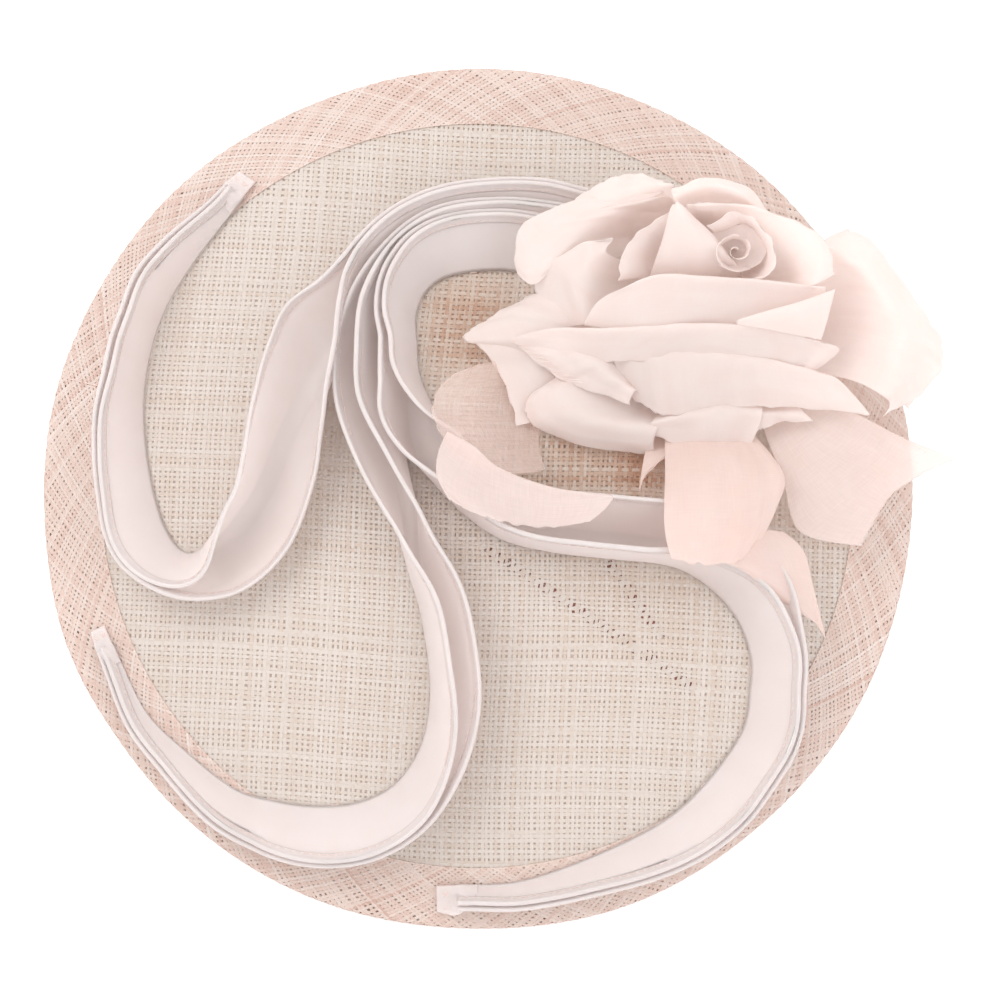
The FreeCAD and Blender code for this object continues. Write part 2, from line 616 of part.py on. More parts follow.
def petal_tile(layer, spread, steep, shallow, length):
    """A thin tile turned about the axis, with a section that is an arc."""
    cloth = size("petal_thickness")
    foot = size("petal_foot") + layer * size("petal_step")
    start = Vector(foot, 0, 0.8 + (5 - min(layer, 5)) * 0.5)
    steep, shallow = math.radians(steep), math.radians(shallow)
    radius = length / (steep - shallow)
    centre = start + Vector(math.sin(steep), 0, -math.cos(steep)) * radius

    def spot(angle, offset):
        reach = radius + offset * (1 if radius > 0 else -1)
        return centre + Vector(-math.sin(angle), 0, math.cos(angle)) * reach

    middle = (steep + shallow) / 2
    outer = Part.Arc(spot(steep, cloth / 2), spot(middle, cloth / 2), spot(shallow, cloth / 2))
    inner = Part.Arc(spot(shallow, -cloth / 2), spot(middle, -cloth / 2),
                     spot(steep, -cloth / 2))
    tip = Part.LineSegment(spot(shallow, cloth / 2), spot(shallow, -cloth / 2))
    root = Part.LineSegment(spot(steep, -cloth / 2), spot(steep, cloth / 2))
    section = Part.Face(Part.Wire([edge.toShape() for edge in (outer, tip, inner, root)]))
    return section.revolve(Vector(0, 0, 0), Vector(0, 0, 1), spread)


def petals():
    frame = rose_frame()
    for name, layer, direction, spread, steep, shallow, length in PETALS + LEAVES:
        tile = petal_tile(layer, spread, steep, shallow, length)
        turn = Placement(Vector(0, 0, 0), Rotation(Vector(0, 0, 1), direction - spread / 2))
        shape_feature("rose_" + name if "leaf" not in name else name, tile,
                      frame.multiply(turn))


# ---------------------------------------------------------------- build and write
sinamay_layers()
brim_wire()
wire_ferrule()
edge_binding()
seam_stitches()
head_pad()
pad_stitches()
comb()
comb_loops()
for band_name in BAND_NAMES:
    band(band_name)
    tack_stitches(band_name)
rose_base()
rose_stitches()
petals()
doc.recompute()

for item in doc.Objects:
    if "Invalid" in item.State or "Error" in item.State:
        raise RuntimeError("failed object: %s %s" % (item.Label, item.State))
for node in nodes:
    if node.Shape.isNull() or not node.Shape.isValid() or not node.Shape.Solids:
        raise RuntimeError("bad shape: " + node.Label)

os.makedirs("parts", exist_ok=True)
for node in nodes:
    node.Shape.exportStep("parts/%s.step" % node.Label)
print("%d nodes" % len(nodes))
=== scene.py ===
import math

import bpy
import numpy as np
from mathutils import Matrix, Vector


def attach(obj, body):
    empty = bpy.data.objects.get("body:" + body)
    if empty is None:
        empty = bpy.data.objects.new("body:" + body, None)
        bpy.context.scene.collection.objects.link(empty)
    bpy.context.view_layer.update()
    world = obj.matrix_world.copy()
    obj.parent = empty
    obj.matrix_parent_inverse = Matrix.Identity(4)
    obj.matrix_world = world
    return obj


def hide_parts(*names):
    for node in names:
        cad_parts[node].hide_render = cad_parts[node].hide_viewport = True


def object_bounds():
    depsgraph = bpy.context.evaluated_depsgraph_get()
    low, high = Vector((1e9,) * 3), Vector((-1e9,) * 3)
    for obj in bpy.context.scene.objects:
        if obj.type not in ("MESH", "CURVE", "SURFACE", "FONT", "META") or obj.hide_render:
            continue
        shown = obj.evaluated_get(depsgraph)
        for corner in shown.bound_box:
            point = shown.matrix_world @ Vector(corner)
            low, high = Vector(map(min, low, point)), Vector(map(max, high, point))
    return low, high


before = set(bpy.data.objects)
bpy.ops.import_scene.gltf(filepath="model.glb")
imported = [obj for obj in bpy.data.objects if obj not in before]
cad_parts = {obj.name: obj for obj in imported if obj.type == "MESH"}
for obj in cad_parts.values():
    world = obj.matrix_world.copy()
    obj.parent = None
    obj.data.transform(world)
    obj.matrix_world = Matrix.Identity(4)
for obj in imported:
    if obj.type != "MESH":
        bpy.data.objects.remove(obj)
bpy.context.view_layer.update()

# A disc fascinator.  Lengths are millimetres in the part's frame until a mesh is made.
MM = 0.001
RIM, RISE = 150.0, 28.0             # the disc's radius, and how far its middle stands above its rim
UNDER_FACE, STACK = 12.3, 1.3       # height of the disc's lower face, and its two layers' thickness
DOME_R = (RIM ** 2 + RISE ** 2) / (2 * RISE)
DOME_C = UNDER_FACE - DOME_R
RIM_PLANE = -15.7                   # height of the rim's lower face
EYE_UP = math.radians(82)           # how steeply the camera looks down


def dome(x, y, above=0.0):
    """Height of the disc's top face, or of a face parallel to it."""
    return DOME_C + np.sqrt((DOME_R + STACK + above) ** 2 - x * x - y * y)


# ---- meshes
def place_object(name, data):
    piece = bpy.data.objects.new(name, data)
    bpy.context.scene.collection.objects.link(piece)
    return piece


def make(name, points, quads, material, stands_for=(), uv=None, tint=None, bake=None,
         body="hat"):
    """A smooth mesh of quads that rides on a body.  points are in millimetres."""
    points = np.asarray(points, np.float32).reshape(-1, 3) * MM
    quads = np.asarray(quads, np.int32).reshape(-1, 4)
    mesh = bpy.data.meshes.new(name)
    mesh.vertices.add(len(points))
    mesh.vertices.foreach_set("co", points.ravel())
    mesh.loops.add(quads.size)
    mesh.loops.foreach_set("vertex_index", quads.ravel())
    mesh.polygons.add(len(quads))
    mesh.polygons.foreach_set("loop_start", np.arange(0, quads.size, 4, dtype=np.int32))
    mesh.update(calc_edges=True)
    mesh.validate()
    mesh.shade_smooth()
    if uv is not None:
        layer = mesh.uv_layers.new(name="UVMap")
        layer.data.foreach_set("uv", np.asarray(uv, np.float32)[quads.ravel()].ravel())
    if bake is not None:
        layer = mesh.uv_layers.new(name="OFBake")
        layer.data.foreach_set("uv", np.asarray(bake, np.float32)[quads.ravel()].ravel())
    if tint is not None:
        layer = mesh.attributes.new("tint", "FLOAT", "POINT")
        layer.data.foreach_set("value", np.asarray(tint, np.float32).ravel())
    mesh.materials.append(material)
    piece = place_object(name, mesh)
    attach(piece, body)
    if stands_for:
        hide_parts(*stands_for)
    return piece


def grid_quads(rows, cols, close_rows=False, close_cols=False):
    """Quads of a grid of rows x cols points, row by row."""
    r = np.arange(rows if close_rows else rows - 1)
    c = np.arange(cols if close_cols else cols - 1)
    r, c = np.meshgrid(r, c, indexing="ij")
    r2, c2 = (r + 1) % rows, (c + 1) % cols
    return np.stack([r * cols + c, r * cols + c2, r2 * cols + c2, r2 * cols + c], -1).reshape(-1, 4)


def join(parts):
    """One set of points and quads from several."""
    points, quads, base = [], [], 0
    for p, q in parts:
        points.append(p)
        quads.append(np.asarray(q) + base)
        base += len(p)
    return np.concatenate(points), np.concatenate(quads)


def solidify(piece, thickness):
    """Gives a sheet its thickness, in millimetres, with the sheet in the middle."""
    thick = piece.modifiers.new("thickness", "SOLIDIFY")
    thick.thickness = thickness * MM
    thick.offset = 0


def spline(points, count):
    """count rows through the given rows (Catmull-Rom), along the first axis."""
    p = np.asarray(points, float)
    last = len(p) - 1
    t = np.linspace(0, last, count)
    i = np.minimum(t.astype(int), last - 1)
    f = (t - i).reshape((-1,) + (1,) * (p.ndim - 1))
    a, b, c, d = p[np.maximum(i - 1, 0)], p[i], p[i + 1], p[np.minimum(i + 2, last)]
    return 0.5 * (2 * b + (c - a) * f + (2 * a - 5 * b + 4 * c - d) * f ** 2
                  + (3 * b - a - 3 * c + d) * f ** 3)


def waves(x, y, seed, reach, layers=4):
    """Smooth noise about -1 to 1: a few waves in seeded directions, about reach mm long."""
    rng = np.random.default_rng(seed)
    total = np.zeros(np.broadcast(x, y).shape)
    for _ in range(layers):
        angle, phase = rng.uniform(0, 2 * math.pi, 2)
        length = reach * rng.uniform(0.7, 1.5)
        total = total + np.sin((x * math.cos(angle) + y * math.sin(angle)) * 2 * math.pi / length
                               + phase)
    return total / layers ** 0.5


def unit(v):
    return v / np.maximum(np.linalg.norm(v, axis=-1, keepdims=True), 1e-9)


def run_length(path):
    """How far along a path each of its points is."""
    return np.concatenate([[0], np.cumsum(np.linalg.norm(np.diff(path, axis=0), axis=1))])


def ease(share):
    """0 to 1 with a soft start and end."""
    return share * share * (3 - 2 * share)


def grid_uv(across, down):
    """UVs in millimetres of a grid's points, row by row."""
    return np.stack(np.broadcast_arrays(across, down), -1).reshape(-1, 2)


# ---- materials
def new_material(name):
    material = bpy.data.materials.new(name)
    material.use_nodes = True
    nodes, links = material.node_tree.nodes, material.node_tree.links
    nodes.clear()
    out = nodes.new("ShaderNodeOutputMaterial")
    return material, nodes, links, out


def fill(node, values):
    """Gives a node's inputs constant values by name."""
    for name, value in values.items():
        node.inputs[name].default_value = value
    return node


def noise(nodes, links, source, scale, detail=3.0, stretch=None):
    texture = fill(nodes.new("ShaderNodeTexNoise"), {"Scale": scale, "Detail": detail})
    if stretch:
        mapping = fill(nodes.new("ShaderNodeMapping"), {"Scale": stretch})
        links.new(source, mapping.inputs["Vector"])
        source = mapping.outputs["Vector"]
    links.new(source, texture.inputs["Vector"])
    return texture.outputs["Fac"]


def ramp(nodes, links, fac, stops):
    mix = nodes.new("ShaderNodeValToRGB")
    mix.color_ramp.elements[0].position, mix.color_ramp.elements[1].position = stops[0][0], stops[-1][0]
    mix.color_ramp.elements[0].color = (*stops[0][1], 1)
    mix.color_ramp.elements[1].color = (*stops[-1][1], 1)
    for place, colour in stops[1:-1]:
        mix.color_ramp.elements.new(place).color = (*colour, 1)
    links.new(fac, mix.inputs["Fac"])
    return mix.outputs["Color"]


def bump_node(nodes, links, height, strength, distance):
    bump = fill(nodes.new("ShaderNodeBump"), {"Strength": strength, "Distance": distance})
    links.new(height, bump.inputs["Height"])
    return bump.outputs["Normal"]


def skin_node(nodes, links, colour, normal, settings):
    """A principled surface's shader."""
    skin = fill(nodes.new("ShaderNodeBsdfPrincipled"), settings)
    links.new(colour, skin.inputs["Base Color"])
    links.new(normal, skin.inputs["Normal"])
    return skin.outputs[0]


def light_through(nodes, links, skin, colour, share):
    """A surface that lets a share of the light through, in its own colour."""
    through = nodes.new("ShaderNodeBsdfTranslucent")
    links.new(colour, through.inputs["Color"])
    mix = fill(nodes.new("ShaderNodeMixShader"), {"Fac": share})
    links.new(skin, mix.inputs[1])
    links.new(through.outputs[0], mix.inputs[2])
    return mix.outputs[0]


def math_node(nodes, links, kind, a, b):
    node = nodes.new("ShaderNodeMath")
    node.operation = kind
    for socket, value in zip(node.inputs, (a, b)):
        if isinstance(value, (int, float)):
            socket.default_value = value
        else:
            links.new(value, socket)
    return node.outputs[0]


def straw_material(name, stops, roughness):
    """Split straw threads: fine streaks along each thread and a tint of its own."""
    material, nodes, links, out = new_material(name)
    uv = nodes.new("ShaderNodeUVMap")
    uv.uv_map = "UVMap"
    tint = nodes.new("ShaderNodeAttribute")
    tint.attribute_name = "tint"
    streaks = noise(nodes, links, uv.outputs["UV"], 1.0, 4, (0.12, 5.0, 1.0))
    blend = math_node(nodes, links, "MULTIPLY", streaks, 0.45)
    blend = math_node(nodes, links, "ADD", blend, tint.outputs["Fac"])
    colour = ramp(nodes, links, blend, stops)
    normal = bump_node(nodes, links, streaks, 0.3, 0.1 * MM)
    skin = skin_node(nodes, links, colour, normal, {
        "Roughness": roughness, "Specular IOR Level": 0.45, "Sheen Weight": 0.15})
    links.new(light_through(nodes, links, skin, colour, 0.3), out.inputs["Surface"])
    return material


def cloth_material(name, dark, light, roughness, through_share, threads_per_mm, sheen=0.3,
                   clear=0.0):
    """Fine woven cloth: uneven threads both ways in UV millimetres, soft clouds of colour.

    clear is the share of the cloth that is open between its threads.
    """
    material, nodes, links, out = new_material(name)
    uv = nodes.new("ShaderNodeUVMap")
    uv.uv_map = "UVMap"
    clouds = noise(nodes, links, uv.outputs["UV"], 0.09, 4)
    warp = noise(nodes, links, uv.outputs["UV"], 1.0, 2, (threads_per_mm, 0.12, 1.0))
    weft = noise(nodes, links, uv.outputs["UV"], 1.0, 2, (0.12, threads_per_mm, 1.0))
    weave = math_node(nodes, links, "MULTIPLY", math_node(nodes, links, "ADD", warp, weft), 0.5)
    blend = math_node(nodes, links, "MULTIPLY", weave, 0.4)
    blend = math_node(nodes, links, "ADD", blend, math_node(nodes, links, "MULTIPLY", clouds, 0.6))
    colour = ramp(nodes, links, blend, [(0.3, dark), (0.68, light)])
    normal = bump_node(nodes, links, weave, 0.35, 0.04 * MM)
    skin = skin_node(nodes, links, colour, normal, {
        "Roughness": roughness, "Specular IOR Level": 0.35, "Sheen Weight": sheen,
        "Sheen Roughness": 0.4})
    surface = light_through(nodes, links, skin, colour, through_share)
    if clear:
        open_part = nodes.new("ShaderNodeBsdfTransparent")
        sheer = nodes.new("ShaderNodeMixShader")
        gaps = math_node(nodes, links, "MULTIPLY", math_node(nodes, links, "SUBTRACT", 2.6, weave),
                         clear / 2.1)
        links.new(gaps, sheer.inputs["Fac"])
        links.new(surface, sheer.inputs[1])
        links.new(open_part.outputs[0], sheer.inputs[2])
        surface = sheer.outputs[0]
    links.new(surface, out.inputs["Surface"])
    return material


def solid_material(name, dark, light, roughness, metallic=0.0, grain=900.0):
    """Plastic, metal or thread: a fine grain and slight changes of colour."""
    material, nodes, links, out = new_material(name)
    place = nodes.new("ShaderNodeTexCoord")
    fine = noise(nodes, links, place.outputs["Object"], grain, 4)
    colour = ramp(nodes, links, fine, [(0.3, dark), (0.7, light)])
    normal = bump_node(nodes, links, fine, 0.3, 0.02 * MM)
    skin = skin_node(nodes, links, colour, normal, {"Roughness": roughness, "Metallic": metallic})
    links.new(skin, out.inputs["Surface"])
    return material


# The dark brown low end of these straw ramps is reached mainly where the painted shade near the rose
# lowers the tint; the under layer's darker low end paints the deeper shade seen through the gaps.
STRAW = straw_material("straw", [(0.0, (0.20, 0.08, 0.05)), (0.16, (0.58, 0.33, 0.22)),
                                 (0.30, (0.74, 0.60, 0.50)), (0.45, (0.82, 0.74, 0.68)),
                                 (0.85, (0.95, 0.92, 0.89))], 0.42)
STRAW_UNDER = straw_material("straw_under", [(0.0, (0.16, 0.05, 0.03)), (0.16, (0.50, 0.27, 0.17)),
                                             (0.30, (0.76, 0.62, 0.53)), (0.45, (0.84, 0.75, 0.69)),
                                             (0.85, (0.95, 0.91, 0.87))], 0.45)
BIAS = straw_material("straw_binding", [(0.0, (0.55, 0.30, 0.22)), (0.25, (0.80, 0.58, 0.50)),
                                        (0.45, (0.89, 0.73, 0.66)), (0.85, (0.98, 0.91, 0.87))], 0.45)
SATIN = cloth_material("band_satin", (0.955, 0.895, 0.88), (0.975, 0.93, 0.92), 0.42, 0.5, 2.6, 0.4)
ORGANZA = cloth_material("petal_organza", (0.99, 0.905, 0.875), (0.998, 0.945, 0.925), 0.5, 0.52, 2.2,
                         clear=0.07)
SHEER = cloth_material("leaf_organza", (0.98, 0.83, 0.78), (0.99, 0.88, 0.84), 0.5, 0.45, 2.0,
                       clear=0.2)
MIST = cloth_material("leaf_mist", (0.97, 0.84, 0.80), (0.98, 0.88, 0.85), 0.5, 0.4, 2.0, clear=0.4)
VEIL = cloth_material("leaf_veil", (0.98, 0.80, 0.74), (0.99, 0.85, 0.80), 0.5, 0.4, 2.0,
                      clear=0.66)
PAD_CLOTH = cloth_material("pad_fabric", (0.86, 0.72, 0.66), (0.93, 0.81, 0.76), 0.7, 0.0, 1.4)
BUCKRAM = solid_material("buckram", (0.90, 0.74, 0.67), (0.96, 0.82, 0.76), 0.8, grain=1400)
THREAD = solid_material("thread", (0.84, 0.62, 0.57), (0.93, 0.74, 0.69), 0.45, grain=4000)
# painted shade: a near-black straw colour for the strips that stand in for the dark hollow seen through
# the gaps
PAINTED_SHADE_STRAW = solid_material("painted_shade_straw", (0.17, 0.05, 0.035), (0.33, 0.12, 0.09), 0.75, grain=2500)
WIRE = solid_material("wire", (0.60, 0.58, 0.56), (0.74, 0.72, 0.70), 0.35, 0.9, 3000)
COMB = solid_material("comb_plastic", (0.84, 0.66, 0.58), (0.90, 0.74, 0.66), 0.28, grain=500)
FOAM = solid_material("foam", (0.82, 0.78, 0.70), (0.92, 0.88, 0.82), 0.9, grain=2500)


# ---- the woven disc
# Where threads have been pulled apart: (x, y) of each end, and how far they are pushed, in mm
PULLED = [((2, -21), (75, -69), 0.6), ((44, -25), (63, -52), 0.55), ((-19, 15), (-2, -10), 0.3)]
# Where the shade under the rose is painted into the straw as a warmer brown: (x, y), reach in mm, depth
# of tint
PAINTED_SHADE_SPOTS = [(-4, 56, 22, 0.21), (32, 9, 22, 0.17), (57, 8, 12, 0.22), (60, -34, 30, 0.06)]


def from_line(x, y, line):
    """How far off a line each point is, and whether it is between the line's ends (0 to 1)."""
    (x0, y0), (x1, y1) = line
    dx, dy = x1 - x0, y1 - y0
    length = math.hypot(dx, dy)
    dx, dy = dx / length, dy / length
    along = (x - x0) * dx + (y - y0) * dy
    off = (y - y0) * dx - (x - x0) * dy
    return off, np.clip(np.minimum(along, length - along) / 3 + 1, 0, 1), (dx, dy)


def pull_apart(x, y):
    """Pushes threads away from the lines where the straw has opened."""
    for start, end, push in PULLED:
        off, inside, (dx, dy) = from_line(x, y, (start, end))
        share = inside * push * np.exp(-(off / 2.2) ** 2) * np.sign(off)
        x, y = x - dy * share, y + dx * share
    return x, y


def straw_tint_and_shade(x, y, shade):
    """A thread's tint along its way, with painted shade: browner near the rose."""
    tint = np.full(x.shape, shade)
    for x0, y0, reach, depth in PAINTED_SHADE_SPOTS:
        tint = tint - depth * np.exp(-((x - x0) ** 2 + (y - y0) ** 2) / reach ** 2)
    return tint


# A flat thread's section: how far aside each of its three points lies, as a share of the width,
# and how far the two sides droop, in mm
SECTION = ((-0.5, 0.07), (0.0, 0.0), (0.5, 0.07))


class Weave:
    """Flat threads of three points a row, gathered into one piece."""

    def __init__(self, reach, lanes):
        self.reach, self.lanes = reach, lanes
        self.parts, self.uvs, self.tints, self.bakes = [], [], [], []

    def add(self, strip, along, run, lane, tint):
        """A thread's points, its way from -reach to reach, its length so far, and its own lane."""
        self.parts.append((strip.reshape(-1, 3), grid_quads(len(along), 3)))
        self.uvs.append(np.stack([np.repeat(run, 3),
                                  np.tile([0, 0.8, 1.6], len(along)) + lane * 3.0], -1))
        self.tints.append(tint)
        self.bakes.append(np.stack([np.repeat(along / self.reach * 0.49 + 0.5, 3),
                                    (np.tile([0.12, 0.5, 0.88], len(along)) + lane) / self.lanes], -1))

    def make(self, name, material, stands_for, slot):
        p, q = join(self.parts)
        return make(name, p, q, material, stands_for, np.concatenate(self.uvs),
                    np.concatenate(self.tints), np.concatenate(self.bakes))


def woven_disc(name, turn, width, lift, seed, material, stands_for):
    """Two sets of flat straw threads that cross over and under, laid on the dome."""
    rng = np.random.default_rng(seed)
    pitch, reach = 1.7, RIM - 3.4
    count = int(reach / pitch)
    lines = np.arange(-count, count + 1)
    place = [lines * pitch + rng.normal(0, 0.09 * pitch, len(lines)) for _ in range(2)]
    weave = Weave(reach, 2 * len(lines))
    for family in range(2):
        own, other = place[family], place[1 - family]
        for index, offset in enumerate(own):
            half = math.sqrt(max(reach ** 2 - offset ** 2, 0))
            inside = np.flatnonzero(np.abs(other) < half)
            if len(inside) < 3:
                continue
            along = other[inside]
            over = np.where((inside + index + family) % 2, 1.0, -1.0) * 0.12
            wide = width * rng.uniform(0.78, 1.12)
            wander = offset + 0.12 * waves(along, offset * 0, seed + index * 2 + family, 30, 2)
            strip = []
            for side, drop in SECTION:
                across = wander + side * wide
                u, v = (across, along) if family == 0 else (along, across)
                # the whole weave is a little out of true
                u, v = (u + 2.2 * np.sin(v / 62 + seed) + 0.7 * np.sin(v / 21 + 2 * seed),
                        v + 2.4 * np.sin(u / 55 + seed) + 0.6 * np.sin(u / 19 + seed))
                x = u * math.cos(turn) - v * math.sin(turn)
                y = u * math.sin(turn) + v * math.cos(turn)
                far = np.maximum(np.hypot(x, y) / reach, 1)
                x, y = pull_apart(x / far, y / far)
                strip.append(np.stack([x, y, dome(x, y, lift) + over - drop], -1))
            strip = np.stack(strip, 1)
            shade = float(np.clip(rng.normal(0.235, 0.045), 0.16, 0.33))
            weave.add(strip, along, along, family * len(lines) + index,
                      straw_tint_and_shade(strip[..., 0], strip[..., 1], shade).ravel())
    layer = weave.make(name, material, stands_for, "sinamay_straw")
    return layer


upper = woven_disc("upper_straw_layer", math.radians(-3), 1.22, -0.25, 5, STRAW,
                   ["sinamay_upper_layer"])
woven_disc("under_straw_layer", math.radians(-27), 1.34, -1.05, 11, STRAW_UNDER,
           ["sinamay_under_layer"])


def painted_shade_strips():
    """Dark strips between the two layers along the lines where the straw has opened: painted shade,
    seen through the gaps as the dark hollow under the disc.
    """
    rng = np.random.default_rng(17)
    parts, base = [], 0
    for (x0, y0), (x1, y1), _ in PULLED:
        length = math.hypot(x1 - x0, y1 - y0)
        dx, dy = (x1 - x0) / length, (y1 - y0) / length
        for lane in (-1.3, 0.0, 1.3):
            begin = rng.uniform(0, 2)
            while begin < length - 2:
                end = min(begin + rng.uniform(5, 14), length)
                along = np.arange(begin, end, 0.6)
                sway = lane + 0.25 * waves(along, along * 0, 40 + base, 9, 3)
                strip = []
                for side in (-0.55, 0, 0.55):
                    x = x0 + dx * along - dy * (sway + side)
                    y = y0 + dy * along + dx * (sway + side)
                    strip.append(np.stack([x, y, dome(x, y, -0.68 - 0.04 * abs(side))], -1))
                parts.append((np.stack(strip, 1).reshape(-1, 3), grid_quads(len(along), 3)))
                base += len(along) * 3
                begin = end + rng.uniform(0.5, 2.5)
    p, q = join(parts)
    make("painted_shade_strips", p, q, PAINTED_SHADE_STRAW)


painted_shade_strips()


# ---- the rim's binding
SLOPE = math.asin(RIM / DOME_R)
BEND = 1.45                         # radius of the binding's fold
LEG = 21.5                          # width of each leg past the fold


def rim_wobble(angle):
    """How far the bound edge strays outwards and upwards, in millimetres."""
    low_left = np.exp(-((np.mod(angle, 2 * math.pi) - math.radians(207)) / 0.34) ** 2)
    out = 0.35 * np.sin(5 * angle + 1) + 0.3 * np.sin(9 * angle) - 1.3 * low_left * np.sin(7 * angle)
    up = 0.35 * np.sin(4 * angle + 2) + 0.3 * np.sin(11 * angle) + 1.2 * low_left
    return out, up


def rim_point(angle, across, off):
    """A point of the binding: across is 0 at the fold, + over the disc and - under it."""
    fold = RIM - BEND
    nose = BEND * math.pi / 2
    run = np.maximum(np.abs(across) - nose, 0) * math.cos(SLOPE)
    radius = fold - run
    clear = 0.55 - 0.33 * np.clip(np.abs(across) / (LEG + nose), 0, 1) ** 2
    top = DOME_C + np.sqrt((DOME_R + STACK + clear + off) ** 2 - radius ** 2)
    low = DOME_C + np.sqrt((DOME_R - clear - off) ** 2 - radius ** 2)
    height = np.where(across > 0, top, low)
    turn = np.clip(across / nose, -1, 1) * math.pi / 2
    middle = DOME_C + math.sqrt((DOME_R + STACK / 2) ** 2 - fold ** 2)
    size = BEND - 0.25 + off
    bend_r = fold + size * (np.cos(turn) * math.cos(SLOPE) + np.sin(turn) * math.sin(SLOPE))
    bend_z = middle + size * (np.sin(turn) * math.cos(SLOPE) - np.cos(turn) * math.sin(SLOPE))
    share = ease(np.clip((np.abs(across) - nose * 0.7) / (nose * 0.9), 0, 1))
    radius = bend_r * (1 - share) + radius * share
    height = bend_z * (1 - share) + height * share
    out, up = rim_wobble(angle)
    near_edge = np.clip(1 - np.abs(across) / LEG, 0, 1)
    radius = radius + out * near_edge
    height = height + up * near_edge * near_edge
    return np.stack([radius * np.cos(angle), radius * np.sin(angle), height], -1)


def binding():
    """Bias-cut straw: two sets of threads that cross at a slant over, round and under the rim."""
    rng = np.random.default_rng(3)
    number, slant, mean_radius = 384, math.radians(35), 139.0
    gap = 2 * math.pi * mean_radius / number
    step = gap / 2 * math.tan(slant)
    edge = BEND * math.pi / 2 + LEG
    steps = int(edge / step)
    across = np.arange(-steps, steps + 1) * step
    weave = Weave(edge, 2 * number)
    for family, lean in enumerate((1, -1)):
        for index in range(number):
            wide = rng.uniform(0.82, 1.12)
            start = 2 * math.pi * (index + rng.normal(0, 0.12)) / number
            angle = start + lean * across / math.tan(slant) / mean_radius
            over = np.where((np.arange(len(across)) + index + family) % 2, 0.09, -0.07)
            strip = []
            for side, drop in SECTION:
                aside = side * wide / math.sin(slant) / mean_radius
                strip.append(rim_point(angle + aside, across, over - drop))
            weave.add(np.stack(strip, 1), across, across * 1.8, family * number + index,
                      np.full(len(across) * 3, rng.normal(0.235, 0.09)))
    ring = weave.make("rim_binding", BIAS, ["edge_binding"], "sinamay_binding")
    return ring


ring = binding()


# ---- tubes and stitches
def tube(path, radius, sides=8, closed=False):
    """Points and quads of a round tube along a path."""
    path = np.asarray(path, float)
    if closed:
        ahead = np.roll(path, -1, 0) - np.roll(path, 1, 0)
    else:
        ahead = np.gradient(path, axis=0)
    ahead = unit(ahead)
    side = unit(np.cross(ahead, [0, 0, 1.0]) + 1e-6)
    up = np.cross(side, ahead)
    turn = np.linspace(0, 2 * math.pi, sides, endpoint=False)
    ring_points = (path[:, None] + radius * (np.cos(turn)[None, :, None] * side[:, None]
                                             + np.sin(turn)[None, :, None] * up[:, None]))
    return ring_points.reshape(-1, 3), grid_quads(len(path), sides, closed, True)


def sew(name, stitches):
    """One piece of sewing thread from several stitches."""
    p, q = join(stitches)
    make(name, p, q, THREAD)


def stitch(middle, direction, length, thick):
    """A stitch: a thread that comes up, runs and goes down again."""
    t = np.linspace(-1, 1, 7)
    direction = unit(np.asarray(direction, float))
    path = np.asarray(middle) + direction * (t * length / 2)[:, None]
    path[:, 2] += thick * (0.9 - 1.8 * t ** 4)
    return tube(path, thick / 2, 6)


# ---- satin bands
# Stations along each fold, from the rose to the rim: x, y, half the fold's width, and how far
# the right-hand and left-hand flaps lean to the left of upright, in degrees.
BAND_STATIONS = {
    "left": [
        (33, 83, 0.7, -61, -59), (21, 86, 0.7, -61, -59), (7, 86, 0.7, -61, -60),
        (-9, 84, 0.7, -59, -58), (-23, 77, 0.7, -54, -53), (-34, 67, 0.8, -42, -38),
        (-41, 59, 1.2, -44, -24), (-48, 49, 2, -57, -8), (-55, 37, 2, -48, 5),
        (-65, 18, 2, -28, 27), (-73, -1, 2, -12, 42), (-82, -14, 2, -4, 50),
        (-90, -20, 1.5, 12, 54), (-99, -22, 1, 46, 49), (-106, -14, 0.9, 66, 67),
        (-111, 1, 0.9, 56, 57), (-114, 20, 0.9, 47, 48), (-114, 39, 0.9, 33, 35),
        (-109, 60, 0.9, 31, 33), (-98, 80, 0.9, 40, 42), (-81, 103, 0.9, 60, 62)],
    "lower": [
        (33, 76, 0.7, -61, -59), (21, 78, 0.7, -61, -59), (7, 79, 0.7, -61, -60),
        (-8, 77, 0.7, -60, -58), (-19, 69, 0.7, -54, -52), (-29, 58, 0.9, -44, -37),
        (-33, 44, 1.3, -40, -27), (-31, 28, 1.7, -42, -30), (-26, 8, 2, -34, -20),
        (-23, -11, 2, -14, 0), (-22, -26, 2, 6, 18), (-17, -45, 2, 20, 31),
        (-14, -69, 2, 24, 35), (-18, -88, 1.6, 36, 41), (-28, -101, 1, 57, 59),
        (-41, -107, 0.9, 69, 71), (-56, -108, 0.9, 71, 73), (-70, -106, 0.9, 64, 66),
        (-83, -102, 0.9, 52, 54), (-100, -89, 0.9, 54, 56), (-114, -75, 0.9, 56, 58),
        (-125, -52, 0.9, 60, 62)],
    "right": [
        (33, 72, 0.7, -61, -59), (21, 73, 0.7, -61, -59), (7, 75, 0.7, -61, -60),
        (-9, 73, 0.7, -56, -55), (-17, 68, 0.7, -44, -42), (-21, 59, 0.9, -35, -33),
        (-21, 49, 1.2, -30, -28), (-21, 37, 2, -26, -26), (-19, 26, 4, -26, -18),
        (-15, 12, 5.5, -10, 4), (-6, -2, 5, 8, 10), (9, -14, 4.5, 6, 22),
        (27, -19, 4, 6, 26), (47, -21, 4, 6, 27), (64, -23, 3.5, 8, 32),
        (77, -29, 3, 20, 44), (88, -41, 2, 40, 52), (93, -56, 1, 51, 54),
        (93, -68, 0.9, 54, 56), (90, -83, 0.9, 58, 60), (77, -101, 0.9, 62, 64),
        (62, -114, 0.9, 62, 64), (38, -126, 0.9, 56, 58), (14, -134, 0.9, 52, 54),
        (-7, -135, 0.9, 52, 54)],
}
